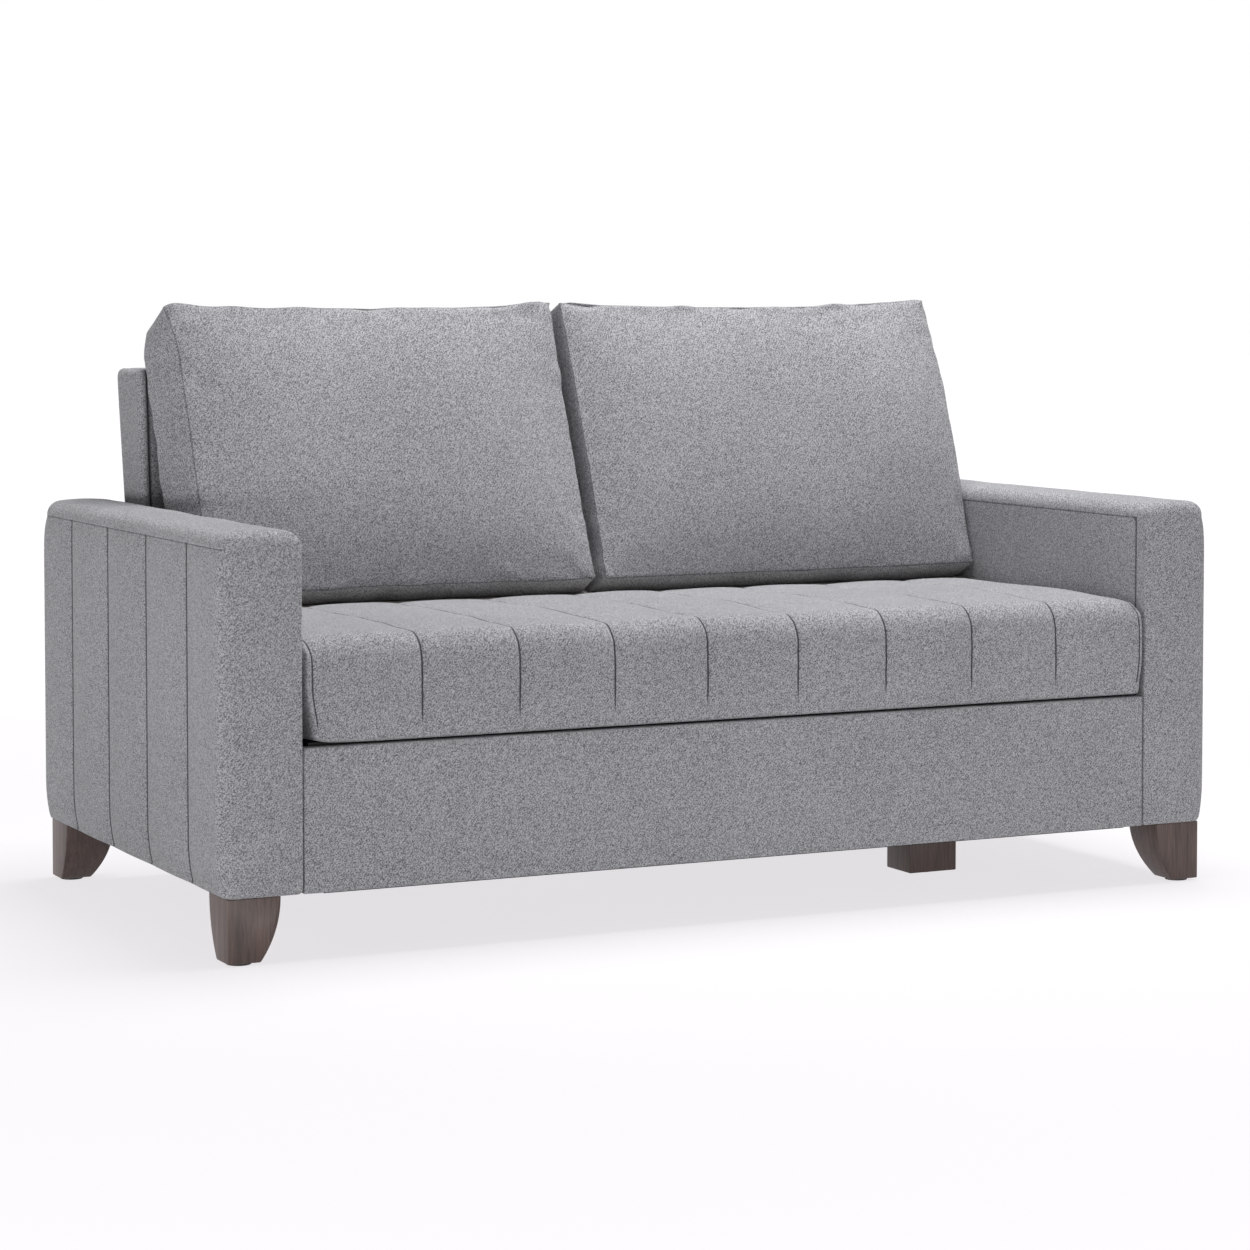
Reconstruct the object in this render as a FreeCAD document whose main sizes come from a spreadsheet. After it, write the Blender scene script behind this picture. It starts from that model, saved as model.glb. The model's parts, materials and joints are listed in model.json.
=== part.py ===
"""Two-seat sleeper sofa with a three-section pull-out bed under the bench.

Millimetres. +X is the right-hand side of someone facing the sofa, -Y is the front, +Z is up.
The origin is on the floor under the middle of the sofa.
"""
import FreeCAD, Part
import math
import os
import re

# Driving dimensions, each set here once.
SIZES = {
    # outline of the sofa
    "overall_width": 1800,
    "overall_depth": 930,
    "arm_width": 128,
    "arm_height": 662,
    "back_height": 890,
    "floor_clearance": 104,
    # upholstered arms
    "arm_top_padding": 26,
    "arm_end_padding": 22,
    "arm_edge_radius": 20,
    "outer_panel_thickness": 12,
    "outer_panel_swell": 5,
    "outer_panel_channels": 5,
    "outer_panel_end_share": 0.835,
    "outer_panel_offset": 5,
    "inner_panel_thickness": 6,
    "arm_frame_batten": 40,
    "arm_frame_web": 10,
    # front rail and base rails
    "rail_inset": 3,
    "rail_board_thickness": 20,
    "rail_cover_thickness": 3,
    "rail_side_gap": 4,
    "rail_bench_gap": 3,
    "base_rail_height": 24,
    "base_rail_width": 72,
    "bearer_width": 90,
    "bearer_thickness": 20,
    "dust_cover_thickness": 1.5,
    # wooden legs
    "leg_top_width": 86,
    "leg_foot_width": 53,
    "leg_swell": 9,
    "leg_side_inset": 8,
    "leg_end_inset": 9,
    "glide_thickness": 4,
    "glide_radius": 19,
    "block_leg_width": 95,
    "block_leg_depth": 80,
    "block_leg_from_arm": 262,
    "block_leg_from_front": 305,
    # back
    "back_depth_low": 112,
    "back_depth_high": 128,
    "back_rake_height": 620,
    "back_front_lean": 29,
    "back_rear_inset": 50,
    "back_padding": 18,
    "back_rear_skin": 4,
    "back_end_thickness": 10,
    "back_side_gap": 2,
    "back_top_radius": 16,
    "back_frame_batten": 60,
    "back_frame_web": 14,
    # fixed deck under the back cushions
    "deck_board_thickness": 15,
    "deck_pad_thickness": 7,
    "deck_gap": 6,
    "cleat_height": 28,
    "cleat_depth": 22,
    "cleat_end_thickness": 10,
    "cleat_end_length": 150,
    # bench cushion
    "bench_thickness": 166,
    "bench_from_rear": 408,
    "bench_front_inset": 1,
    "bench_side_gap": 4,
    "bench_crown": 6,
    "bench_front_radius": 46,
    "bench_rear_radius": 18,
    "bench_seam_depth": 7,
    "bench_end_draw": 10,
    "bench_toe_radius": 8,
    "bench_channels": 9,
    "bench_end_share": 1.11,
    "bench_seam_offset": 10,
    # back cushions
    "cushion_height": 530,
    "cushion_thickness": 92,
    "cushion_lean_angle": 21.5,
    "cushion_front_crown": 32,
    "cushion_rear_crown": 6,
    "cushion_end_thickness": 56,
    "cushion_ear": 8,
    "cushion_foot": 20,
    "cushion_gap": 6,
    "cushion_side_gap": 2,
    "cushion_seat_gap": 0.3,
    # bed sections
    "section_rail": 22,
    "section_deck": 8,
    "section_pad": 62,
    "pad_gap": 1,
    "section_clearance": 2,
    "seat_panel_thickness": 16,
    "fold_axis_from_front": 40,
    "fold_end_gap": 3,
    "head_cross_inset": 40,
    # linkage
    "lift_arm_share": 0.4068,
    "lift_arm_rest_angle": 38,
    "lift_arm_open_angle": 45,
    "lift_arm_end_share": 0.36,
    "lift_arm_rear_margin": 59,
    "lift_arm_side_gap": 3,
    "plate_thickness": 4,
    "plate_gap": 1,
    "link_thickness": 3,
    "strap_half_width": 12,
    "lug_half_width": 8,
    "lug_foot_length": 36,
    "hinge_foot_length": 60,
    "pin_radius": 4,
    "pin_clearance": 0.05,
    "seat_axis_setback": 12,
    "stay_back": 15,
    "stay_down": 35,
    "bracket_thickness": 5,
    "bracket_half_height": 22,
    "bracket_end": 24,
    "bolt_radius": 4,
    "bolt_head_radius": 7,
    "bolt_head_height": 1.5,
    # fold-down feet
    "foot_tube_radius": 9,
    "foot_leg_radius": 8,
    "foot_tip_radius": 10,
    "foot_tip_length": 18,
    "foot_floor_gap": 3,
    "seat_foot_from_front": 100,
    "seat_foot_side_inset": 100,
    "middle_foot_setback": 40,
    "middle_foot_side_inset": 50,
    "foot_bracket_thickness": 4,
}

# Places and sizes that follow from the driving dimensions.
LAYOUT = {
    "front": "-overall_depth / 2",
    "rear": "overall_depth / 2",
    "arm_outer": "overall_width / 2",
    "inner_half": "overall_width / 2 - arm_width",
    "arm_seam": "arm_height - arm_top_padding",
    "rail_front": "front + rail_inset",
    "rail_back": "rail_front + rail_cover_thickness + rail_board_thickness",
    "outer_panel_pitch": "overall_depth / (outer_panel_channels - 2 + 2 * outer_panel_end_share)",
    "block_leg_from_centre": "inner_half - block_leg_from_arm",
    # closed bed, upwards from the base rails
    "base_top": "floor_clearance + base_rail_height",
    "head_low": "base_top + section_clearance",
    "head_deck_low": "head_low + section_rail",
    "head_pad_low": "head_deck_low + section_deck",
    "head_top": "head_pad_low + section_pad",
    "fold_z": "head_top + pad_gap / 2",
    "middle_low": "head_top + pad_gap",
    "middle_deck_low": "middle_low + section_pad",
    "middle_rail_low": "middle_deck_low + section_deck",
    "middle_top": "middle_rail_low + section_rail",
    "seat_panel_low": "middle_top + pad_gap",
    "bench_low": "seat_panel_low + seat_panel_thickness",
    "seat_height": "bench_low + bench_thickness",
    "rail_top": "bench_low - rail_bench_gap",
    # hinge lines
    "fold_y": "front + fold_axis_from_front",
    "bench_front": "front + bench_front_inset",
    "bench_rear": "rear - bench_from_rear",
    "bench_half": "inner_half - bench_side_gap",
    "bench_channel_pitch": "2 * bench_half / (bench_channels - 2 + 2 * bench_end_share)",
    "seat_axis_y": "bench_rear + seat_axis_setback",
    "seat_axis_z": "(fold_z + seat_height) / 2",
    "deck_front": "seat_axis_y + lug_half_width + pad_gap * 3",
    "section_front": "fold_y + fold_end_gap",
    "head_rear": "deck_front - deck_gap",
    "middle_rear": "seat_axis_y - fold_end_gap + pad_gap",
    # lifting linkage
    "lift_arm_length": "(head_rear - fold_y) * lift_arm_share",
    "lift_rise": "lift_arm_length * (sin(lift_arm_open_angle) + sin(lift_arm_rest_angle))",
    "arm_end_y": "fold_y + (head_rear - fold_y) * lift_arm_end_share",
    "arm_end_z": "head_low + section_rail / 2",
    "lift_arm_spacing": "head_rear - arm_end_y - lift_arm_rear_margin",
    "arm_pivot_y": "arm_end_y - lift_arm_length * cos(lift_arm_rest_angle)",
    "arm_pivot_z": "arm_end_z + lift_arm_length * sin(lift_arm_rest_angle)",
    "stay_y": "fold_y + stay_back",
    "stay_z": "fold_z - stay_down",
    "seat_stay_y": "seat_axis_y + stay_back",
    "seat_stay_z": "seat_axis_z - stay_down",
    # fixed deck and back
    "deck_top": "head_top + lift_rise",
    "deck_pad_low": "deck_top - deck_pad_thickness",
    "deck_low": "deck_pad_low - deck_board_thickness",
    "back_rear_low": "rear - back_rear_inset",
    "back_front_low": "back_rear_low - back_depth_low",
    "back_front_high": "back_front_low + back_front_lean",
    "back_rear_high": "back_front_high + back_depth_high",
    "back_half": "inner_half - back_side_gap",
    # plates stand side by side in lanes between the arms and the sections
    "lane_bracket": "inner_half - bracket_thickness",
    "lane_arm": "lane_bracket - lift_arm_side_gap - plate_thickness",
    "lane_stay": "lane_arm - 2 * plate_gap - link_thickness",
    "lane_seat": "lane_stay - plate_gap - plate_thickness",
    "lane_middle": "lane_seat - plate_gap - plate_thickness",
    "lane_head": "lane_middle - plate_gap - plate_thickness",
    # feet when the bed is open
    "open_fold_z": "fold_z + lift_rise",
    "open_seat_axis_z": "open_fold_z - (seat_axis_z - fold_z)",
    "foot_z": "(middle_rail_low + middle_top) / 2",
    "seat_foot_y": "front + seat_foot_from_front",
    "seat_foot_length": "open_seat_axis_z - (seat_axis_z - foot_z) - foot_floor_gap",
    "seat_foot_half_width": "lane_head - seat_foot_side_inset",
    "middle_foot_y": "seat_axis_y - middle_foot_setback",
    "middle_foot_half_width": "lane_head - middle_foot_side_inset",
    "middle_foot_length": "open_seat_axis_z + (seat_axis_z - foot_z) - foot_floor_gap",
}

doc = FreeCAD.newDocument("SleeperSofa")
sheet = doc.addObject("Spreadsheet::Sheet", "Dimensions")
for row, (alias, number) in enumerate(SIZES.items(), start=1):
    sheet.set(f"A{row}", alias)
    sheet.set(f"B{row}", str(number))
    sheet.setAlias(f"B{row}", alias)
doc.recompute()

layout = doc.addObject("App::FeaturePython", "Layout")


def formula(text):
    """Point each name in a formula at its sheet cell or its layout property."""

    def owner(match):
        word = match.group(0)
        if word in SIZES:
            return f"Dimensions.{word}"
        if word in LAYOUT:
            return f"Layout.{word}"
        return word

    return re.sub(r"[a-z][a-z_]+", owner, text)


for place, text in LAYOUT.items():
    layout.addProperty("App::PropertyFloat", place)
    layout.setExpression(place, formula(text))
    doc.recompute()


def size(name):
    """A driving dimension or a layout value, as a number."""
    return float(sheet.get(name)) if name in SIZES else float(getattr(layout, name))


pieces = []


def keep(item, name):
    """Name a finished piece, which is written to its own file."""
    item.Label = name
    pieces.append(item)
    return item


def bind(item, links):
    for prop, text in links.items():
        item.setExpression(prop, formula(text))


def block(name, x, y, z):
    """A box from its lowest and highest x, y and z, each a formula."""
    item = doc.addObject("Part::Box", name)
    links = {}
    for axis, side, (low, high) in (("x", "Length", x), ("y", "Width", y), ("z", "Height", z)):
        links[side] = f"({high}) - ({low})"
        links[f".Placement.Base.{axis}"] = low
    bind(item, links)
    return item


def join(name, solids):
    item = doc.addObject("Part::MultiFuse", name)
    item.Shapes = solids
    return item


def cut(name, base, tool):
    item = doc.addObject("Part::Cut", name)
    item.Base = base
    item.Tool = tool
    return item


def sided(side, low, high):
    """An x span given from the centre outwards, on the left (-1) or the right (+1)."""
    return (low, high) if side > 0 else (f"-({high})", f"-({low})")


SIDES = (("left", -1), ("right", 1))


def shape_piece(name, shape):
    """A piece whose form no primitive has, made with Part's own functions."""
    item = doc.addObject("Part::Feature", name)
    item.Shape = shape
    item.Placement = FreeCAD.Placement()
    return keep(item, name)


def point(x, y, z):
    return FreeCAD.Vector(x, y, z)


def outline(x, start, runs):
    """A closed wire in the plane at x. A run (y, z) is a line, and (y, z, y, z) an arc through a point."""
    edges = []
    last = start
    for run in list(runs) + [start]:
        end = run[-2:]
        if len(run) == 4:
            edges.append(Part.Arc(point(x, *last), point(x, *run[:2]), point(x, *end)).toShape())
        elif math.dist(last, end) > 1e-6:
            edges.append(Part.makeLine(point(x, *last), point(x, *end)))
        last = end
    return Part.Wire(edges)


def slab(x, start, runs):
    """A solid with one outline, from the lower x to the higher."""
    low, high = x
    return Part.Face(outline(low, start, runs)).extrude(point(high - low, 0, 0))


def strap(x, start, end, radius):
    """A flat bar with round ends between two (y, z) points, its thickness along X."""
    length = math.dist(start, end)
    along_y = (end[0] - start[0]) / length * radius
    along_z = (end[1] - start[1]) / length * radius
    first = (start[0] + along_z, start[1] - along_y)
    runs = [
        (end[0] + along_z, end[1] - along_y),
        (end[0] + along_y, end[1] + along_z, end[0] - along_z, end[1] + along_y),
        (start[0] - along_z, start[1] + along_y),
        (start[0] - along_y, start[1] - along_z) + first,
    ]
    return slab(x, first, runs)


def pin(x, y, z, radius):
    return Part.makeCylinder(radius, x[1] - x[0], point(x[0], y, z), point(1, 0, 0))


def mirrored_x(side, low, high):
    """An x span given from the centre outwards, as numbers, on the left or the right."""
    return (low, high) if side > 0 else (-high, -low)


def build_arms():
    end_pad = "arm_end_padding"
    for name, side in SIDES:
        across = sided(side, "inner_half", "arm_outer")
        within = sided(side, "inner_half", "arm_outer - outer_panel_thickness")
        upright = ("floor_clearance", "arm_seam")
        top = block(f"{name}_band_top", across, ("front", "rear"), ("arm_seam", "arm_height"))
        ahead = block(f"{name}_band_front", within, ("front", f"front + {end_pad}"), upright)
        behind = block(f"{name}_band_rear", within, (f"rear - {end_pad}", "rear"), upright)
        band = join(f"{name}_band_square", [top, ahead, behind])
        doc.recompute()
        rounded = doc.addObject("Part::Fillet", f"{name}_arm_band")
        rounded.Base = band
        radius = size("arm_edge_radius")
        rounded.Edges = [
            (number, radius, radius)
            for number, edge in enumerate(band.Shape.Edges, start=1)
            if min(v.Z for v in edge.Vertexes) > size("arm_height") - 0.01
        ]
        keep(rounded, f"{name}_arm_band")

        shape_piece(f"{name}_arm_outer_panel", channel_panel(side))

        inner = block(
            f"{name}_arm_inner_panel",
            sided(side, "inner_half", "inner_half + inner_panel_thickness"),
            (f"front + {end_pad}", f"rear - {end_pad}"),
            ("floor_clearance", "arm_seam"),
        )
        keep(inner, f"{name}_arm_inner_panel")

        frame_x = ("inner_half + inner_panel_thickness", "arm_outer - outer_panel_thickness")
        frame_y = (f"front + {end_pad}", f"rear - {end_pad}")
        full = block(f"{name}_frame_full", sided(side, *frame_x), frame_y, ("floor_clearance", "arm_seam"))
        pocket_y = (f"{frame_y[0]} + arm_frame_batten", f"{frame_y[1]} - arm_frame_batten")
        pocket_z = ("floor_clearance + arm_frame_batten", "arm_seam - arm_frame_batten")
        web = f"({frame_x[0]} + {frame_x[1]}) / 2"
        near_x = sided(side, frame_x[0], f"{web} - arm_frame_web / 2")
        far_x = sided(side, f"{web} + arm_frame_web / 2", frame_x[1])
        near = block(f"{name}_pocket_inner", near_x, pocket_y, pocket_z)
        far = block(f"{name}_pocket_outer", far_x, pocket_y, pocket_z)
        keep(cut(f"{name}_arm_frame", full, join(f"{name}_pockets", [near, far])), f"{name}_arm_frame")


def channel_panel(side):
    """The outer side of an arm: upright channels with a seam between each two."""
    count = int(size("outer_panel_channels"))
    pitch = size("outer_panel_pitch")
    middle = size("outer_panel_offset")
    seams = [middle + (i - count / 2) * pitch for i in range(1, count)]
    stops = [size("front")] + seams + [size("rear")]
    low = size("floor_clearance")
    crown = side * size("arm_outer")
    seam = side * (size("arm_outer") - size("outer_panel_swell"))
    back = side * (size("arm_outer") - size("outer_panel_thickness"))
    edges = [Part.makeLine(point(back, stops[0], low), point(seam, stops[0], low))]
    for start, end in zip(stops, stops[1:]):
        middle_point = point(crown, (start + end) / 2, low)
        edges.append(Part.Arc(point(seam, start, low), middle_point, point(seam, end, low)).toShape())
    edges.append(Part.makeLine(point(seam, stops[-1], low), point(back, stops[-1], low)))
    edges.append(Part.makeLine(point(back, stops[-1], low), point(back, stops[0], low)))
    return Part.Face(Part.Wire(edges)).extrude(point(0, 0, size("arm_seam") - low))


def build_base():
    board_x = ("rail_side_gap - inner_half", "inner_half - rail_side_gap")
    skin = "rail_cover_thickness"
    board = block(
        "front_rail_board",
        board_x,
        (f"rail_front + {skin}", "rail_back"),
        (f"floor_clearance + {skin}", f"rail_top - {skin}"),
    )
    keep(board, "front_rail_board")
    wrap = block("rail_wrap", board_x, ("rail_front", "rail_back"), ("floor_clearance", "rail_top"))
    inside = block(
        "rail_wrap_inside",
        board_x,
        (f"rail_front + {skin}", "rail_back"),
        (f"floor_clearance + {skin}", f"rail_top - {skin}"),
    )
    keep(cut("front_rail_cover", wrap, inside), "front_rail_cover")

    back_face = "back_front_low + back_padding"
    for name, side in SIDES:
        rail = block(
            f"{name}_base_rail",
            sided(side, "inner_half - base_rail_width", "inner_half"),
            ("rail_back", back_face),
            ("floor_clearance", "base_top"),
        )
        keep(rail, f"{name}_base_rail")
    between = ("base_rail_width - inner_half", "inner_half - base_rail_width")
    bearer_middle = "front + block_leg_from_front"
    bearer = block(
        "cross_bearer",
        between,
        (f"{bearer_middle} - bearer_width / 2", f"{bearer_middle} + bearer_width / 2"),
        ("floor_clearance", "floor_clearance + bearer_thickness"),
    )
    keep(bearer, "cross_bearer")
    rear_rail = block(
        "rear_base_rail",
        between,
        (f"{back_face} - cleat_depth", back_face),
        ("floor_clearance", "floor_clearance + 2 * base_rail_height"),
    )
    keep(rear_rail, "rear_base_rail")

    sheet_x = ("base_rail_width / 2 - inner_half", "inner_half - base_rail_width / 2")
    sheet_z = ("floor_clearance - dust_cover_thickness", "floor_clearance")
    lining = block("lining_full", sheet_x, ("rail_front + 2 * rail_cover_thickness", back_face), sheet_z)
    hole = block("lining_hole", *block_leg_plan("pad_gap"), sheet_z)
    keep(cut("dust_cover", lining, hole), "dust_cover")


def block_leg_plan(room):
    """The block leg's x and y spans, grown by some room on each side."""
    middle = "front + block_leg_from_front"
    half_x = f"(block_leg_width / 2 + {room})"
    half_y = f"(block_leg_depth / 2 + {room})"
    return (
        (f"block_leg_from_centre - {half_x}", f"block_leg_from_centre + {half_x}"),
        (f"{middle} - {half_y}", f"{middle} + {half_y}"),
    )


def tapered_leg(side, end):
    """A corner leg: upright on its two outward faces, curved in towards the foot on the other two."""
    top = size("leg_top_width")
    foot = size("leg_foot_width")
    low = size("glide_thickness")
    high = size("floor_clearance")
    middle = (low + high) / 2
    swell = (top + foot) / 2 + size("leg_swell")
    across = size("arm_outer") - size("leg_side_inset")
    along = size("rear") - size("leg_end_inset")

    def profile(to_point):
        places = ((0, low), (foot, low), (swell, middle), (top, high), (0, high))
        corners = [to_point(*at) for at in places]
        curve = Part.Arc(corners[1], corners[2], corners[3]).toShape()
        lines = [Part.makeLine(corners[a], corners[b]) for a, b in ((3, 4), (4, 0), (0, 1))]
        return Part.Face(Part.Wire([curve] + lines))

    front_view = profile(lambda inward, z: point(side * (across - inward), end * along, z))
    side_view = profile(lambda inward, z: point(side * across, end * (along - inward), z))
    from_front = front_view.extrude(point(0, -end * top, 0))
    from_side = side_view.extrude(point(-side * top, 0, 0))
    return from_front.common(from_side)


def build_legs():
    glides = []
    half_foot = size("leg_foot_width") / 2
    lift = size("glide_thickness")
    for place, end in (("front", -1), ("rear", 1)):
        for name, side in SIDES:
            shape_piece(f"{place}_{name}_leg", tapered_leg(side, end))
            x = side * (size("arm_outer") - size("leg_side_inset") - half_foot)
            y = end * (size("rear") - size("leg_end_inset") - half_foot)
            glides.append(Part.makeCylinder(size("glide_radius"), lift, point(x, y, 0)))
    spans = block_leg_plan("0")
    keep(block("middle_block_leg", *spans, ("glide_thickness", "floor_clearance")), "middle_block_leg")
    block_y = size("front") + size("block_leg_from_front")
    block_centre = point(size("block_leg_from_centre"), block_y, 0)
    glides.append(Part.makeCylinder(size("glide_radius"), lift, block_centre))
    shape_piece("leg_glides", Part.makeCompound(glides))


def build_back():
    low = size("floor_clearance")
    high = size("back_height")
    pad = size("back_padding")
    skin = size("back_rear_skin")
    curve = size("back_top_radius")
    half = size("back_half")
    body_half = half - size("back_end_thickness")
    front_low = size("back_front_low")
    front_high = size("back_front_high")
    rear_low = size("back_rear_low")
    rear_high = size("back_rear_high")
    rake = size("back_rake_height")
    deck_low = size("deck_low")
    deck_top = size("deck_top")
    bend = curve * (1 - math.sqrt(0.5))
    over_top = [
        (front_high, high - curve),
        (front_high + bend, high - bend, front_high + curve, high),
        (rear_high - curve, high),
        (rear_high - bend, high - bend, rear_high, high - curve),
    ]
    front_pad = [
        (front_low, deck_top),
        *over_top,
        (rear_high, high - pad),
        (front_high + pad, high - pad),
        (front_low + pad, deck_top),
        (front_low + pad, deck_low),
    ]
    shape_piece("back_front_pad", slab((-body_half, body_half), (front_low, deck_low), front_pad))

    rear_panel = [
        (rear_low, rake),
        (rear_high, high - pad),
        (rear_high - skin, high - pad),
        (rear_low - skin, rake),
        (rear_low - skin, low),
    ]
    shape_piece("back_rear_panel", slab((-body_half, body_half), (rear_low, low), rear_panel))

    frame = [
        (front_low + pad, deck_top),
        (front_high + pad, high - pad),
        (rear_high - skin, high - pad),
        (rear_low - skin, rake),
        (rear_low - skin, low),
    ]
    full = doc.addObject("Part::Feature", "back_frame_full")
    full.Shape = slab((-body_half, body_half), (front_low + pad, low), frame)
    batten = "back_frame_batten"
    web_y = "back_front_high + back_padding + back_frame_web"
    pockets = [
        block(
            f"{name}_back_pocket",
            sided(side, f"{batten} / 2", f"back_half - back_end_thickness - {batten}"),
            (web_y, "rear"),
            (f"floor_clearance + {batten}", f"back_height - back_padding - {batten}"),
        )
        for name, side in SIDES
    ]
    keep(cut("back_frame", full, join("back_pockets", pockets)), "back_frame")

    side_view = [
        (front_low + pad, deck_low),
        (front_low, deck_low),
        (front_low, deck_top),
        *over_top,
        (rear_high, high - pad),
        (rear_low, rake),
        (rear_low, low),
    ]
    for name, side in SIDES:
        panel = slab(mirrored_x(side, body_half, half), (front_low + pad, low), side_view)
        shape_piece(f"{name}_back_end_panel", panel)


def build_deck():
    across = ("-inner_half", "inner_half")
    along = ("deck_front", "back_front_low")
    keep(block("rear_deck_board", across, along, ("deck_low", "deck_pad_low")), "rear_deck_board")
    keep(block("rear_deck_pad", across, along, ("deck_pad_low", "deck_top")), "rear_deck_pad")
    cleat_z = ("deck_low - cleat_height", "deck_low")
    frame_half = "(back_half - back_end_thickness)"
    cleat_front = "back_front_low - cleat_depth"
    cleat_y = (cleat_front, "back_front_low + back_padding")
    cleats = [block("rear_cleat", (f"-{frame_half}", frame_half), cleat_y, cleat_z)]
    for name, side in SIDES:
        cleats.append(
            block(
                f"{name}_end_cleat",
                sided(side, "inner_half - cleat_end_thickness", "inner_half"),
                (f"{cleat_front} - pad_gap - cleat_end_length", f"{cleat_front} - pad_gap"),
                cleat_z,
            )
        )
    doc.recompute()
    group = doc.addObject("Part::Compound", "deck_cleats")
    group.Links = cleats
    keep(group, "deck_cleats")


def lofted(sections):
    """One closed skin through a row of outlines, smooth between them."""
    return Part.makeLoft(sections, True, False)


def bench_outline(x, draw, crown):
    """The bench cushion cut across at x, drawn in all round by a seam, flat where it rests."""
    low = size("bench_low")
    high = size("seat_height") - draw
    bulge = size("bench_seam_depth") / 2
    front = size("bench_front") + draw
    rear = size("bench_rear") - draw
    toe = size("bench_toe_radius")
    nose = size("bench_front_radius")
    heel = size("bench_rear_radius")
    off_arc = 1 - math.sqrt(0.5)
    face = front + bulge
    runs = [
        (face + toe, low),
        (face + toe * off_arc, low + toe * off_arc, face, low + toe),
        (front, (low + high) / 2, face, high - nose),
        (face + nose * off_arc, high - nose * off_arc, face + nose, high),
        ((front + rear) / 2, high + crown, rear - heel, high),
        (rear - heel * off_arc, high - heel * off_arc, rear, high - heel),
    ]
    return outline(x, (rear, low), runs)


def build_bench():
    """One long cushion of sewn channels, each a smooth pillow between two seams."""
    count = int(size("bench_channels"))
    pitch = size("bench_channel_pitch")
    half = size("bench_half")
    seam = size("bench_seam_depth")
    crown = size("bench_crown")
    end_draw = size("bench_end_draw")
    seams = [size("bench_seam_offset") + (i - count / 2) * pitch for i in range(1, count)]
    stops = [-half] + seams + [half]
    channels = []
    for start, end in zip(stops, stops[1:]):
        middle = (start + end) / 2
        cuts = [(start, seam, crown / 2), (middle, 0, crown), (end, seam, crown / 2)]
        if start == -half:
            cuts[0] = (start, end_draw, crown / 4)
        if end == half:
            cuts[-1] = (end, end_draw, crown / 4)
        channels.append(lofted([bench_outline(*at) for at in cuts]))
    shape_piece("bench_cushion", channels[0].multiFuse(channels[1:]))


def cushion_outline(x, thick, height, front_crown, rear_crown):
    """A back cushion cut across at x. It leans back, and rests flat on the deck."""
    lean = math.radians(size("cushion_lean_angle"))
    up = (math.sin(lean), math.cos(lean))
    seat = size("deck_top") + size("cushion_seat_gap")
    foot = size("cushion_foot")
    inset = (size("cushion_thickness") - thick) / 2

    def at(along, through):
        """A point so far up the front seam line, and so far through towards the back."""
        y = size("deck_front") + size("pad_gap") + along * up[0] + through * up[1]
        return (y, seat + foot + along * up[1] - through * up[0])

    start = at(inset / 2, inset)
    top_front = at(height, inset)
    top_rear = at(height, inset + thick)
    rear_low_along = ((inset + thick) * up[0] - foot) / up[1] + foot
    runs = [
        at(height * 0.5, inset - front_crown) + top_front,
        at(height + thick * 0.12, inset + thick / 2) + top_rear,
        at(height * 0.5, inset + thick + rear_crown) + at(rear_low_along, inset + thick),
        (at(rear_low_along, inset + thick)[0] - foot * 0.6, seat),
        (start[0] + foot * 0.9, seat),
    ]
    return outline(x, start, runs)


def build_back_cushions():
    """Two loose boxed cushions with crowned faces and ears at their upper corners."""
    outer = size("inner_half") - size("cushion_side_gap")
    inner = size("cushion_gap") / 2
    width = outer - inner
    height = size("cushion_height")
    thick = size("cushion_thickness")
    ear = size("cushion_ear")
    front = size("cushion_front_crown")
    rear = size("cushion_rear_crown")
    end_thick = size("cushion_end_thickness")
    count = 7
    cuts = []
    for i in range(count):
        share = i / (count - 1)
        drawn = (2 * share - 1) ** 4
        deep = thick - (thick - end_thick) * drawn
        tall = height - ear * (1 - (2 * share - 1) ** 2)
        cuts.append((share, deep, tall, 1 - 0.95 * drawn))
    for name, side in SIDES:
        sections = [
            cushion_outline(side * (inner + width * share), deep, tall, front * full, rear * full)
            for share, deep, tall, full in cuts
        ]
        shape_piece(f"{name}_back_cushion", lofted(sections))


def pin_span(side, start, end):
    """The x span of a pin from one lane to half a gap past another."""
    return mirrored_x(side, size(start), size(end) + size("plate_gap") / 2)


def side_tube(name, side, outer, along, level):
    """A square steel tube along the edge of a section, as a shape."""
    x = mirrored_x(side, size(outer) - size("section_rail"), size(outer))
    low = point(x[0], along[0], level)
    return Part.makeBox(x[1] - x[0], along[1] - along[0], size("section_rail"), low)


def solid_of(shapes, holes):
    """Shapes welded into one, with round holes along X."""
    whole = shapes[0].multiFuse(shapes[1:]).removeSplitter()
    return whole.cut(Part.makeCompound(holes)) if holes else whole


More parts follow.
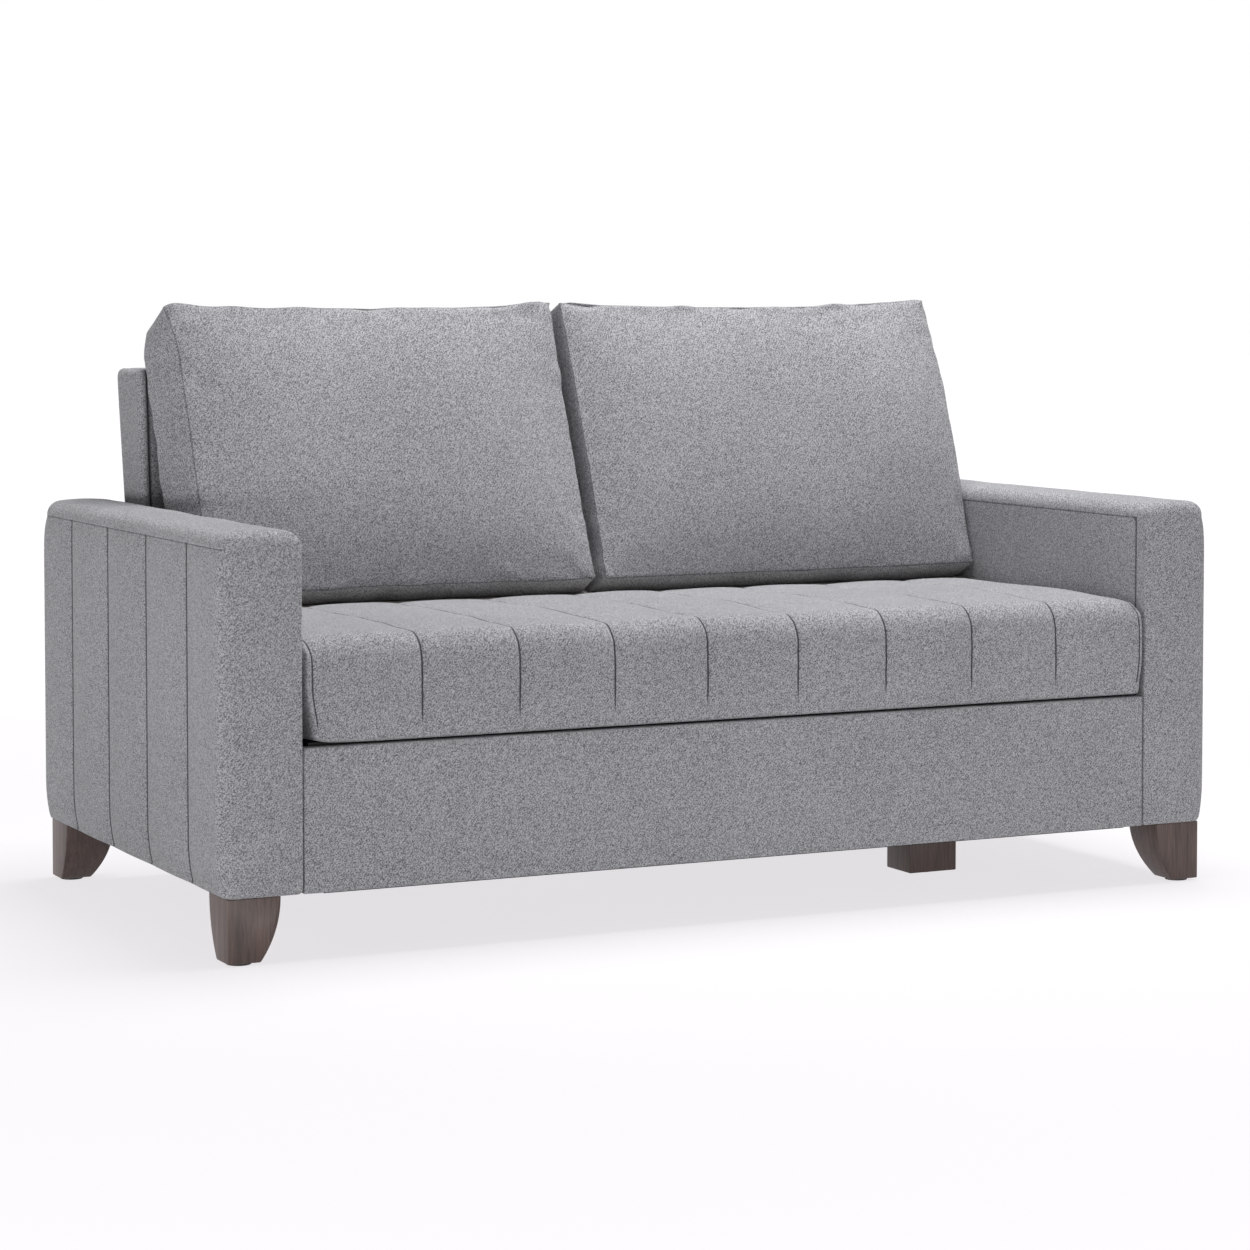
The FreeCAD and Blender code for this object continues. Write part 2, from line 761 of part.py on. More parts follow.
def build_lift():
    """Side brackets and the two parallel arms on each side that raise the head section."""
    pivots = [size("arm_pivot_y"), size("arm_pivot_y") + size("lift_arm_spacing")]
    ends = [size("arm_end_y"), size("arm_end_y") + size("lift_arm_spacing")]
    pivot_z = size("arm_pivot_z")
    end_z = size("arm_end_z")
    radius = size("pin_radius")
    hole = radius + size("pin_clearance")
    plate = size("plate_thickness")
    gap = size("plate_gap")
    bolts = []
    for name, side in SIDES:
        bracket_x = mirrored_x(side, size("lane_bracket"), size("inner_half"))
        half = size("bracket_half_height")
        margin = size("bracket_end")
        low = point(bracket_x[0], pivots[0] - margin, pivot_z - half)
        long = pivots[1] - pivots[0] + 2 * margin
        strip = Part.makeBox(bracket_x[1] - bracket_x[0], long, 2 * half, low)
        pin_x = mirrored_x(side, size("lane_arm") - gap / 2, size("lane_bracket") + gap)
        pins = [pin(pin_x, y, pivot_z, radius) for y in pivots]
        bolt_y = [pivots[0] + size("lift_arm_spacing") * share for share in (0.25, 0.75)]
        shank = size("bolt_radius")
        bolt_z = pivot_z
        holes = [pin(bracket_x, y, bolt_z, shank + size("pin_clearance")) for y in bolt_y]
        shape_piece(f"{name}_lift_bracket", solid_of([strip] + pins, holes))
        under_head = size("lane_bracket")
        head_x = mirrored_x(side, under_head - size("bolt_head_height"), under_head)
        for y in bolt_y:
            head = pin(head_x, y, bolt_z, size("bolt_head_radius"))
            bolts.append(head.fuse(pin(bracket_x, y, bolt_z, shank)))
        arm_x = mirrored_x(side, size("lane_arm"), size("lane_arm") + plate)
        for place, y, end_y in zip(("front", "rear"), pivots, ends):
            bar = strap(arm_x, (y, pivot_z), (end_y, end_z), size("strap_half_width"))
            bores = [pin(arm_x, y, pivot_z, hole), pin(arm_x, end_y, end_z, hole)]
            shape_piece(f"{place}_{name}_lift_arm", solid_of([bar], bores))
    shape_piece("bracket_bolts", Part.makeCompound(bolts))


def build_head_section():
    """The fixed-level head third: side tubes with hinge plates and pins, cross tubes, deck and pad."""
    radius = size("pin_radius")
    fold = (size("fold_y"), size("fold_z"))
    stay = (size("stay_y"), size("stay_z"))
    end_z = size("arm_end_z")
    slope = size("stay_back") / size("stay_down")
    foot = (fold[0] + slope * (fold[1] - end_z), end_z)
    along = (size("section_front"), size("head_rear"))
    for name, side in SIDES:
        tube = side_tube(name, side, "lane_head", along, size("head_low"))
        plate_x = mirrored_x(side, size("lane_head"), size("lane_head") + size("plate_thickness"))
        plate = strap(plate_x, fold, foot, size("strap_half_width"))
        fold_pin = pin(pin_span(side, "lane_head", "lane_seat"), *fold, radius)
        past = size("plate_gap") / 2
        stay_x = mirrored_x(side, size("lane_head"), size("lane_stay") + size("link_thickness") + past)
        stay_pin = pin(stay_x, *stay, radius)
        arm_x = mirrored_x(side, size("lane_head"), size("lane_arm") + size("plate_thickness") + past)
        arm_y = (size("arm_end_y"), size("arm_end_y") + size("lift_arm_spacing"))
        arm_pins = [pin(arm_x, y, end_z, radius) for y in arm_y]
        welded = [tube, plate, fold_pin, stay_pin] + arm_pins
        shape_piece(f"{name}_head_side_frame", solid_of(welded, []))
    within = ("section_rail - lane_head", "lane_head - section_rail")
    level = ("head_low", "head_deck_low")
    front_y = ("section_front + head_cross_inset", "section_front + head_cross_inset + section_rail")
    rear_y = ("head_rear - head_cross_inset - section_rail", "head_rear - head_cross_inset")
    cross = [
        block("head_cross_front", within, front_y, level),
        block("head_cross_rear", within, rear_y, level),
    ]
    group = doc.addObject("Part::Compound", "head_cross_tubes")
    group.Links = cross
    keep(group, "head_cross_tubes")
    span = ("section_front", "head_rear")
    deck_x = ("-lane_head", "lane_head")
    pad_x = ("pad_gap - lane_head", "lane_head - pad_gap")
    keep(block("head_deck", deck_x, span, ("head_deck_low", "head_pad_low")), "head_deck")
    keep(block("head_pad", pad_x, span, ("head_pad_low", "head_top")), "head_pad")


def build_middle_section():
    """The middle third, stored upside down on the head section and turned over by the fold hinge."""
    radius = size("pin_radius")
    hole = radius + size("pin_clearance")
    fold = (size("fold_y"), size("fold_z"))
    seat = (size("seat_axis_y"), size("seat_axis_z"))
    level = size("foot_z")
    reach = size("stay_back") / size("stay_down") * (fold[1] - size("arm_end_z"))
    along = (size("section_front"), size("middle_rear"))
    for name, side in SIDES:
        tube = side_tube(name, side, "lane_middle", along, size("middle_rail_low"))
        plate_x = mirrored_x(side, size("lane_middle"), size("lane_middle") + size("plate_thickness"))
        plate = strap(plate_x, fold, (fold[0] + reach, level), size("strap_half_width"))
        lug = size("lug_half_width")
        corner = (seat[0], level)
        foot = strap(plate_x, (seat[0] - size("lug_foot_length"), level), corner, lug)
        upright = strap(plate_x, corner, seat, lug)
        seat_pin_x = mirrored_x(side, size("lane_middle"), size("lane_stay") - size("plate_gap") / 2)
        seat_pin = pin(seat_pin_x, *seat, radius)
        solid = solid_of([tube, plate, foot, upright, seat_pin], [pin(plate_x, *fold, hole)])
        shape_piece(f"{name}_middle_side_frame", solid)
    within = ("section_rail - lane_middle", "lane_middle - section_rail")
    rail_z = ("middle_rail_low", "middle_top")
    rail_y = ("middle_rear - section_rail", "middle_rear")
    keep(block("middle_cross_tube", within, rail_y, rail_z), "middle_cross_tube")
    span = ("section_front", "middle_rear")
    deck_x = ("-lane_head", "lane_head")
    pad_x = ("pad_gap - lane_head", "lane_head - pad_gap")
    keep(block("middle_deck", deck_x, span, ("middle_deck_low", "middle_rail_low")), "middle_deck")
    keep(block("middle_pad", pad_x, span, ("middle_low", "middle_deck_low")), "middle_pad")


def build_seat_section():
    """The panel that carries the bench, with the hinge plates at its rear corners."""
    panel_x = ("-lane_seat", "lane_seat")
    panel_y = ("rail_back + fold_end_gap + lug_half_width", "bench_rear")
    keep(block("seat_panel", panel_x, panel_y, ("seat_panel_low", "bench_low")), "seat_panel")
    radius = size("pin_radius")
    hole = radius + size("pin_clearance")
    lug = size("seat_panel_thickness") / 2
    seat = (size("seat_axis_y"), size("seat_axis_z"))
    stay = (size("seat_stay_y"), size("seat_stay_z"))
    level = (size("seat_panel_low") + size("bench_low")) / 2
    for name, side in SIDES:
        plate_x = mirrored_x(side, size("lane_seat"), size("lane_seat") + size("plate_thickness"))
        foot = strap(plate_x, (seat[0] - size("hinge_foot_length"), level), (stay[0], level), lug)
        upright = strap(plate_x, (seat[0], level), seat, lug)
        stay_end = size("lane_stay") + size("link_thickness") + size("plate_gap") / 2
        stay_x = mirrored_x(side, size("lane_seat"), stay_end)
        solid = solid_of([foot, upright, pin(stay_x, *stay, radius)], [pin(plate_x, *seat, hole)])
        shape_piece(f"{name}_seat_hinge_plate", solid)
        link_x = mirrored_x(side, size("lane_stay"), size("lane_stay") + size("link_thickness"))
        near = (size("stay_y"), size("stay_z"))
        bar = strap(link_x, near, stay, lug)
        bores = [pin(link_x, *near, hole), pin(link_x, *stay, hole)]
        shape_piece(f"{name}_stay_link", solid_of([bar], bores))


def foot_set(name, pivot_y, reach, half, length, bracket_low, bracket_high):
    """A fold-down support: a cross tube in two brackets, and two legs with rubber-tipped ends."""
    level = size("foot_z")
    tube = size("foot_tube_radius")
    tip = size("foot_tip_radius")
    tip_length = size("foot_tip_length")
    thick = size("foot_bracket_thickness")
    wide = half + tube + 2 * thick
    cross = pin((-wide, wide), pivot_y, level, tube)
    shape_piece(f"{name}_foot_tube", cross)
    legs = []
    for _, side in SIDES:
        start = point(side * half, pivot_y, level)
        way = point(0, reach, 0)
        leg = Part.makeCylinder(size("foot_leg_radius"), length - tip_length, start, way).cut(cross)
        end = point(side * half, pivot_y + reach * (length - tip_length), level)
        legs.append(leg.fuse(Part.makeCylinder(tip, tip_length, end, way)))
    shape_piece(f"{name}_foot_legs", Part.makeCompound(legs))
    ears = []
    for _, side in SIDES:
        x = mirrored_x(side, half + tube + thick / 2, half + tube + thick * 3 / 2)
        low = point(x[0], pivot_y - tube - thick, bracket_low)
        ear = Part.makeBox(thick, 2 * (tube + thick), bracket_high - bracket_low, low)
        ears.append(ear.cut(pin(x, pivot_y, level, tube + size("pin_clearance"))))
    shape_piece(f"{name}_foot_brackets", Part.makeCompound(ears))


def build_feet():
    low = size("middle_rail_low")
    high = size("middle_top")
    slack = size("pad_gap") / 2
    foot_set(
        "seat",
        size("seat_foot_y"),
        1,
        size("seat_foot_half_width"),
        size("seat_foot_length"),
        low + slack,
        size("seat_panel_low"),
    )
    foot_set(
        "middle",
        size("middle_foot_y"),
        -1,
        size("middle_foot_half_width"),
        size("middle_foot_length"),
        low,
        high - slack,
    )


build_arms()
build_base()
build_legs()
build_back()
build_deck()
build_bench()
build_back_cushions()
build_lift()
build_head_section()
build_middle_section()
build_seat_section()
build_feet()
doc.recompute()

faults = [item.Name for item in doc.Objects if {"Invalid", "Error"} & set(item.State)]
faults += [item.Label for item in pieces if item.Shape.isNull() or not item.Shape.isValid()]
faults += [item.Label for item in pieces if not item.Shape.Solids]
if faults:
    raise RuntimeError(f"pieces that failed: {faults}")

os.makedirs("parts", exist_ok=True)
for item in pieces:
    item.Shape.exportStep(f"parts/{item.Label}.step")
    print(item.Label, len(item.Shape.Solids), round(item.Shape.Volume))
print(len(pieces), "pieces")
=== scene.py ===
# %% [markdown]
# # A two-seat sleeper sofa
#
# The sofa is upholstered in a heathered grey twill. It has square arms with a channelled outer side,
# a long bench cushion sewn in channels, two loose back cushions and dark walnut legs. A bed in three
# sections is folded under the bench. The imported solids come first, as a fixed frame, and each soft
# surface is then modelled over the solid that it stands for.

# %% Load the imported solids
import json
import math

import bmesh
import bpy
import numpy as np
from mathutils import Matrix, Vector, noise


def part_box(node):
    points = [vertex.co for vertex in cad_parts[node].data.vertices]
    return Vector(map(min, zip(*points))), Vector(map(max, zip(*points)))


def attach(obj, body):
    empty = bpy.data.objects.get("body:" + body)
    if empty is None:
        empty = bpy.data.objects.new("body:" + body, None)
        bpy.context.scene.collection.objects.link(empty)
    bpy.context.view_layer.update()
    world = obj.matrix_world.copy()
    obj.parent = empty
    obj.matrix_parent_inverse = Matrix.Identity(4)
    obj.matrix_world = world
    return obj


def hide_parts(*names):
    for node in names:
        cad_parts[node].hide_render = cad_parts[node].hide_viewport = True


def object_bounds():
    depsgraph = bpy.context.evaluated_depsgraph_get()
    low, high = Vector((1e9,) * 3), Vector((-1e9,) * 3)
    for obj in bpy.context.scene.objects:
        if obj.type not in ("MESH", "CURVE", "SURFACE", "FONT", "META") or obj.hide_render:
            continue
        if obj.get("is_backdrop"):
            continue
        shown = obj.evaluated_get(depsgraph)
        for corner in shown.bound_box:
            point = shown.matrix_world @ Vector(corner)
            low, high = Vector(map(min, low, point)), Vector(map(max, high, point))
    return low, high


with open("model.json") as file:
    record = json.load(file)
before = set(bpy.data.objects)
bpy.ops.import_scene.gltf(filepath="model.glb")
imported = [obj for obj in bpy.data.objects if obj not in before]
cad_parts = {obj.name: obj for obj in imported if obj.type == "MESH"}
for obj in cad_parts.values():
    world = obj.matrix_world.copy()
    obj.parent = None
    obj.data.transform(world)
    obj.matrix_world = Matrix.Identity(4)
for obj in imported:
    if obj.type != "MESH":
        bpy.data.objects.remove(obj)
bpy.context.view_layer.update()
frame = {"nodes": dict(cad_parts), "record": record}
nodes = frame["nodes"]

# %% [markdown]
# Colours are written as sRGB hex values, as a colour picker shows them. Shaders work in linear light,
# so one function converts them. A second small function adds a shader node with its settings and
# links, which keeps each material readable as a list of what feeds what.

# %% Colours and shader nodes
MM = 0.001
MIX_COLOURS = {"data_type": "RGBA"}


def linear(hex_colour):
    """An sRGB hex colour as linear red, green, blue and alpha."""
    channels = [int(hex_colour[i : i + 2], 16) / 255 for i in (1, 3, 5)]
    return [c / 12.92 if c <= 0.04045 else ((c + 0.055) / 1.055) ** 2.4 for c in channels] + [1.0]


def add(tree, kind, settings, inputs):
    """Add a shader node with its settings. Each input is a value or the socket that feeds it."""
    node = tree.nodes.new("ShaderNode" + kind)
    for name, value in settings.items():
        setattr(node, name, value)
    for key, value in inputs.items():
        if isinstance(value, bpy.types.NodeSocket):
            tree.links.new(value, node.inputs[key])
        else:
            node.inputs[key].default_value = value
    return node


def new_material(name):
    material = bpy.data.materials.new(name)
    material.use_nodes = True
    material.node_tree.nodes.clear()
    return material, material.node_tree


def finish_material(tree, surface):
    output = tree.nodes.new("ShaderNodeOutputMaterial")
    tree.links.new(surface.outputs[0], output.inputs["Surface"])


print("twill grey in linear light:", [round(v, 3) for v in linear("#9c9ca0")])

# %% [markdown]
# The cover is a polyester twill woven from light and dark grey yarns, a heather. Near by, it shows
# salt-and-pepper flecks and a faint diagonal rib. It could be a tiled picture of cloth, but patterns
# worked out in the shader have no repeat and need no image. Real yarns are about 0.5 mm apart, too
# fine to show from six metres, so each fleck is drawn 1.2 by 1.5 mm and each rib 4.4 mm wide. The
# pattern lies on a UV map laid out in metres, so it keeps its scale and follows each surface.

# %% Heathered yarns
FLECK = 1.5 * MM
RIB = 4.4 * MM
BANDS = {"wave_type": "BANDS", "bands_direction": "X"}
WAVES_PER_SCALE = 0.314
TWILL_ANGLE = math.radians(38)
FLAT = {"noise_dimensions": "2D"}


def heathered_yarns(tree, contrast):
    """How light the cloth is at each point, from patterns at five sizes, and how high it stands."""
    weave = add(tree, "UVMap", {"uv_map": "weave"}, {}).outputs["UV"]
    place = add(tree, "TexCoord", {}, {}).outputs["Object"]
    threads = add(tree, "Mapping", {}, {"Vector": weave, "Rotation": (0, 0, TWILL_ANGLE)}).outputs[0]
    fleck_size = (0.8 * FLECK, FLECK, 1.0)
    cells = add(tree, "VectorMath", {"operation": "SNAP"}, {0: threads, 1: fleck_size}).outputs[0]
    yarns = add(tree, "TexWhiteNoise", FLAT, {"Vector": cells}).outputs["Value"]
    flecks = add(tree, "TexNoise", FLAT, {"Vector": weave, "Scale": 0.8 / FLECK, "Detail": 1.0})
    clumps = add(tree, "TexNoise", FLAT, {"Vector": weave, "Scale": 0.45 / FLECK, "Detail": 1.0})
    patches = add(tree, "TexNoise", {}, {"Vector": place, "Scale": 5.0, "Detail": 2.0})
    wander = {"Distortion": 1.5, "Detail": 1.0, "Detail Scale": 3.0}
    ribs = add(tree, "TexWave", BANDS, {"Vector": threads, "Scale": WAVES_PER_SCALE / RIB, **wander})
    layers = (
        (flecks.outputs["Fac"], contrast),
        (yarns, 0.75),
        (clumps.outputs["Fac"], 0.08),
        (ribs.outputs["Fac"], 0.1),
        (patches.outputs["Fac"], 0.12),
    )
    total = 0.25 - contrast / 2
    for pattern, weight in layers:
        weighed = {0: pattern, 1: weight, 2: total}
        total = add(tree, "Math", {"operation": "MULTIPLY_ADD"}, weighed).outputs[0]
    share = add(tree, "Math", {"operation": "SUBTRACT", "use_clamp": True}, {0: total, 1: 0.26})
    raised = {0: ribs.outputs["Fac"], 1: 0.5, 2: flecks.outputs["Fac"]}
    height = add(tree, "Math", {"operation": "MULTIPLY_ADD"}, raised)
    return share.outputs[0], height.outputs[0]


print("flecks", FLECK / MM, "mm, ribs", RIB / MM, "mm")

# %% [markdown]
# On the real sofa each seam is thread sunk between two edges, and shade falls in it as a thin dark
# line.
# That shade is painted here. It could be a strip of its own, but a number stored on the mesh, 1 on the
# seam and 0 away from it, is enough for the shader to paint it dark. The cloth is rough, reflects
# little, and has a soft sheen from loose fibres.

# %% Grey twill with painted seam shade
def heathered_twill(name, dark, light, contrast):
    material, tree = new_material(name)
    share, height = heathered_yarns(tree, contrast)
    greys = {"Factor": share, "A": linear(dark), "B": linear(light)}
    cloth = add(tree, "Mix", MIX_COLOURS, greys).outputs["Result"]
    # The seam number paints shade: the cloth colour is mixed towards dark grey in each seam's groove.
    seam = add(tree, "Attribute", {"attribute_name": "seam"}, {}).outputs["Fac"]
    seam_shade_range = {"Value": seam, "From Min": 0.25, "From Max": 0.62, "To Max": 0.88}
    painted_seam_shade = add(tree, "MapRange", {}, seam_shade_range).outputs[0]
    cloth_with_seam_shade = add(tree, "Mix", MIX_COLOURS, {"Factor": painted_seam_shade, "A": cloth, "B": linear("#303033")})
    bump = add(tree, "Bump", {}, {"Strength": 0.35, "Distance": 0.4 * MM, "Height": height})
    finish = {
        "Base Color": cloth_with_seam_shade.outputs["Result"],
        "Roughness": 0.92,
        "Specular IOR Level": 0.25,
        "Sheen Weight": 0.18,
        "Sheen Roughness": 0.5,
        "Normal": bump.outputs[0],
    }
    finish_material(tree, add(tree, "BsdfPrincipled", {}, finish))
    return material


twill = heathered_twill("heathered grey twill", "#3f3f42", "#d0d0d5", 0.45)
print("materials:", [m.name for m in bpy.data.materials])

# %% [markdown]
# A padded piece starts as a box with its edges rounded by a bevel. It could be sculpted by hand, but a
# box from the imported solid's own corners is sure to sit where that solid is.

# %% Boxes with rounded edges
SHARP = 0.7


def plain_box(low, high):
    low, high = Vector(low), Vector(high)
    bm = bmesh.new()
    bmesh.ops.create_cube(bm, size=1.0)
    bmesh.ops.scale(bm, vec=high - low, verts=bm.verts)
    bmesh.ops.translate(bm, vec=(low + high) / 2, verts=bm.verts)
    return bm


def bevel(bm, edges, radius, segments):
    bmesh.ops.bevel(
        bm,
        geom=edges,
        offset=radius,
        offset_type="OFFSET",
        affect="EDGES",
        segments=segments,
        profile=0.5,
        material=-1,
    )


def round_edges(bm, radius, segments, chosen=lambda a, b: True):
    """Round the sharp edges whose two end points pass a test."""
    sharp = [e for e in bm.edges if e.calc_face_angle(0) > SHARP and chosen(*(v.co for v in e.verts))]
    bevel(bm, sharp, radius, segments)


def rounded_box(low, high, radius, segments=4):
    bm = plain_box(low, high)
    round_edges(bm, radius, segments)
    return bm


sample = rounded_box((0, 0, 0), (0.1, 0.1, 0.1), 10 * MM)
print("a rounded box has", len(sample.faces), "faces")
sample.free()

# %% [markdown]
# Planes then cut the box into loops, close together beside a seam and wide apart elsewhere, which is
# how an upholstery pattern is marked out. An even grid would need far more faces for as sharp a seam.

# %% Loops beside the seams
ON_CUT = 1e-4


def cut_loops(bm, axis, places):
    """Cut loops across the mesh, each in the plane at a place along one axis."""
    normal = Vector([float(i == axis) for i in range(3)])
    for place in sorted(places):
        geometry = bm.verts[:] + bm.edges[:] + bm.faces[:]
        bmesh.ops.bisect_plane(bm, geom=geometry, dist=1e-5, plane_co=normal * place, plane_no=normal)


def beside(seams, gaps):
    """Places at each seam and at a few gaps to either side of it."""
    return sorted({round(s + sign * gap, 5) for s in seams for gap in gaps for sign in (-1, 1)})


def spread(low, high, count):
    return [low + (high - low) * (i + 0.5) / count for i in range(count)]


def nearest(value, places):
    return min(abs(value - p) for p in places)


print("loops beside a seam at 0:", beside([0], (0, 2 * MM, 6 * MM)))

# %% [markdown]
# The vertices are moved last, each by a rule for this piece, so a seam is a real groove and the
# padding between two seams is crowned. A displacement picture could do that too, but not at an edge.

# %% Moving the cloth
def smooth(value, low, high):
    """0 below low, 1 above high, and an even curve between them."""
    share = min(1.0, max(0.0, (value - low) / (high - low)))
    return share * share * (3 - 2 * share)


def shape(bm, move):
    """Move each vertex by a function of its place and outward direction, and store how much painted
    shade darkens it at a seam.
    """
    seam = bm.verts.layers.float.new("seam")
    bm.normal_update()
    moved = [move(v.co.copy(), v.normal.copy()) for v in bm.verts]
    for vert, (place, mark) in zip(bm.verts, moved):
        vert.co = place
        vert[seam] = mark


print("halfway up the even curve:", smooth(0.5, 0.0, 1.0))

# %% [markdown]
# Cloth is cut from flat lengths, so its threads run straight on each side of a piece. The UV map lays
# each face flat along the axis that it faces most, in metres. An unwrap would turn and stretch it.

# %% A map for the weave
def lay_weave(mesh):
    """A UV map in metres, laid on each face from the side that it faces most."""
    layer = mesh.uv_layers.get("weave") or mesh.uv_layers.new(name="weave")
    co = np.zeros(len(mesh.vertices) * 3)
    mesh.vertices.foreach_get("co", co)
    corner = np.zeros(len(mesh.loops), int)
    mesh.loops.foreach_get("vertex_index", corner)
    normal = np.zeros(len(mesh.polygons) * 3)
    mesh.polygons.foreach_get("normal", normal)
    total = np.zeros(len(mesh.polygons), int)
    mesh.polygons.foreach_get("loop_total", total)
    side = np.repeat(np.abs(normal.reshape(-1, 3)).argmax(1), total)
    at = co.reshape(-1, 3)[corner]
    across = np.where(side == 0, at[:, 1], at[:, 0])
    up = np.where(side == 2, at[:, 1], at[:, 2])
    layer.data.foreach_set("uv", np.stack([across, up], 1).ravel())


print("one fleck covers", 0.8 * FLECK, "by", FLECK, "m of the map")

# %% [markdown]
# A form becomes a piece when its mesh is linked into the scene and gets its cloth. Subdivision then
# rounds what the loops only outline, which needs far fewer vertices to move than a dense mesh. Each
# piece is also told which body it moves with, because the bed folds and the cushions lift.

# %% Shown pieces
def add_rounding(piece, levels):
    rounding = piece.modifiers.new("rounding", "SUBSURF")
    rounding.levels = rounding.render_levels = levels


def make_piece(name, bm, material, levels=0):
    """Turn a bmesh into a shown piece with a smooth surface."""
    bmesh.ops.recalc_face_normals(bm, faces=bm.faces)
    mesh = bpy.data.meshes.new(name)
    bm.to_mesh(mesh)
    bm.free()
    lay_weave(mesh)
    mesh.shade_smooth()
    mesh.materials.append(material)
    piece = bpy.data.objects.new(name, mesh)
    bpy.context.scene.collection.objects.link(piece)
    if levels:
        add_rounding(piece, levels)
    print(name, len(mesh.polygons), "faces")
    return piece


def stand_for(piece, body, slot, *names, fill=None):
    """Say which body the piece moves with and which solids it stands for. How full it is, the fill, is
    not used.
    """
    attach(piece, body)
    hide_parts(*names)


# %% [markdown]
# Each arm is a wooden frame in a sewn cover over thin padding. Its outer side is a panel of five
# upright channels under the seam of the top band. The three middle channels are equally wide, and
# the two at the ends are a little narrower, because the cover's corners take up the rest.

# %% Measures of the arms
arm_low, arm_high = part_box("right_arm_band")
panel_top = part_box("right_arm_outer_panel")[1].z
front, rear = arm_low.y, arm_high.y
END_CHANNEL = 0.835
channel = (rear - front) / (3 + 2 * END_CHANNEL)
arm_seams = [(i - 2.5) * channel + 5 * MM for i in range(1, 5)]
print("arm channels", round(channel / MM, 1), "mm wide, seams at", [round(y, 3) for y in arm_seams])

# %% [markdown]
# The band wraps over the top and down the front with a soft radius, and the channels roll in at their
# top and bottom. One closed form holds the whole cover, because the real one is one sewn skin. Parts
# laid edge to edge would show gaps. Its corners get three radii: soft round the top and the outer
# side, smaller at the foot, and least where the arm meets the rail and the back.

# %% Loops of an arm cover
BAND_WIDTH = 30 * MM
ARM_GAPS = [gap * MM for gap in (0, 3.6, 9, 20, 44, 70, 96)]


def has_soft_corner(a, b):
    """The edges round the arm's top, and the upright ones on its outer side."""
    return max(a.z, b.z) > 0.5 and (min(a.z, b.z) > 0.5 or a.x > 0.8)


def loops_of_arm(bm, low):
    """The corners and loops of one arm's cover."""
    round_edges(bm, 24 * MM, 6, has_soft_corner)
    round_edges(bm, 8 * MM, 3, lambda a, b: max(a.z, b.z) < 0.2)
    round_edges(bm, 4 * MM, 3)
    cut_loops(bm, 1, beside(arm_seams, ARM_GAPS))
    cut_loops(bm, 1, beside([front + BAND_WIDTH], (0, 2.2 * MM)))
    rows = spread(low.z + 10 * MM, panel_top - 8 * MM, 18)
    cut_loops(bm, 2, beside([panel_top], (0, 2.4 * MM)) + rows)
    cut_loops(bm, 0, spread(low.x + 24 * MM, arm_high.x - 24 * MM, 4))


print("upright loops along an arm:", len(beside(arm_seams, ARM_GAPS)))

# %% [markdown]
# Between two seams the padding stands 6 mm proud, and each seam lies in a narrow groove. The exact
# curve could come from cloth, but thin padding glued to a board hardly moves, so a rule is enough.
# The left cover is the right one mirrored.

# %% Arms
def arm_cover(side):
    low = Vector((arm_low.x, front, arm_low.z - 0.3 * MM))
    bm = plain_box(low, arm_high)
    loops_of_arm(bm, low)

    def move(co, normal):
        outer = smooth(normal.x, 0.35, 0.8)
        inner = smooth(-normal.x, 0.5, 0.8)
        ahead = smooth(-normal.y, 0.5, 0.8)
        top = smooth(normal.z, 0.3, 0.8)
        below = co.z < panel_top + ON_CUT
        gap = nearest(co.y, arm_seams)
        beyond = co.y < front + BAND_WIDTH - 1 * MM or co.y > rear - BAND_WIDTH + 1 * MM
        # Each mark paints shade into a seam's groove: full on a channel seam with a fainter band 4 mm
        # to each side, 0.6 on the top seam and 0.9 on the inner front seam.
        mark = 0.0
        if outer > 0 and below:
            share = min(1.0, gap / (channel / 2))
            lift = 6 * MM * (1 - (1 - share) ** 2)
            groove = 3.2 * MM * math.exp(-gap / (5 * MM))
            roll_top = smooth(panel_top - co.z, 0.0, 30 * MM)
            roll_low = smooth(co.z - low.z, 0.0, 45 * MM)
            co.x += outer * (lift * roll_top - groove - 7 * MM * (1 - roll_low))
            mark = 1.0 if gap < ON_CUT else 0.32 if gap < 4 * MM else 0.0
        if abs(co.z - panel_top) < ON_CUT and abs(normal.x) > 0.3 and not (inner > 0 and beyond):
            co.x -= 0.8 * MM * math.copysign(1, normal.x)
            mark = max(mark, 0.6 * smooth(abs(normal.x), 0.3, 0.95))
        if inner > 0 and below and abs(co.y - front - BAND_WIDTH) < ON_CUT:
            co.x += 1.2 * MM
            mark = 0.9
        wave = noise.noise(co * 9.0)
        arch = math.sin(math.pi * smooth(co.x, low.x, arm_high.x))
        co.y -= ahead * (2.5 * arch + 1.0 * wave) * MM
        co.z += top * (3.0 * arch + 1.5 * wave) * MM
        return co, mark

    shape(bm, move)
    if side < 0:
        bmesh.ops.scale(bm, vec=(-1, 1, 1), verts=bm.verts)
    return bm


for name, side in (("left", -1), ("right", 1)):
    cover = make_piece(f"{name}_arm_cover", arm_cover(side), twill, 1)
    skins = [f"{name}_arm_band", f"{name}_arm_outer_panel", f"{name}_arm_inner_panel"]
    stand_for(cover, "sofa", "upholstery", *skins, fill=0.9)

# %% [markdown]
# Under the bench a board covered in the same cloth closes the front. It doesn't move with the bed. Its
# edges are wrapped, so they are rounded only by the thickness of the cloth and wadding. A plain board
# would look like painted wood, so the wadding makes the face very slightly uneven.

# %% Front rail
rail_low, rail_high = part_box("front_rail_cover")
wrap = 2.5 * MM
sides = Vector((wrap, 0, 0))
bm = rounded_box(rail_low - sides, rail_high + sides, wrap, 3)
cut_loops(bm, 0, spread(rail_low.x + 10 * MM, rail_high.x - 10 * MM, 40))
cut_loops(bm, 2, spread(rail_low.z + 8 * MM, rail_high.z - 8 * MM, 8))


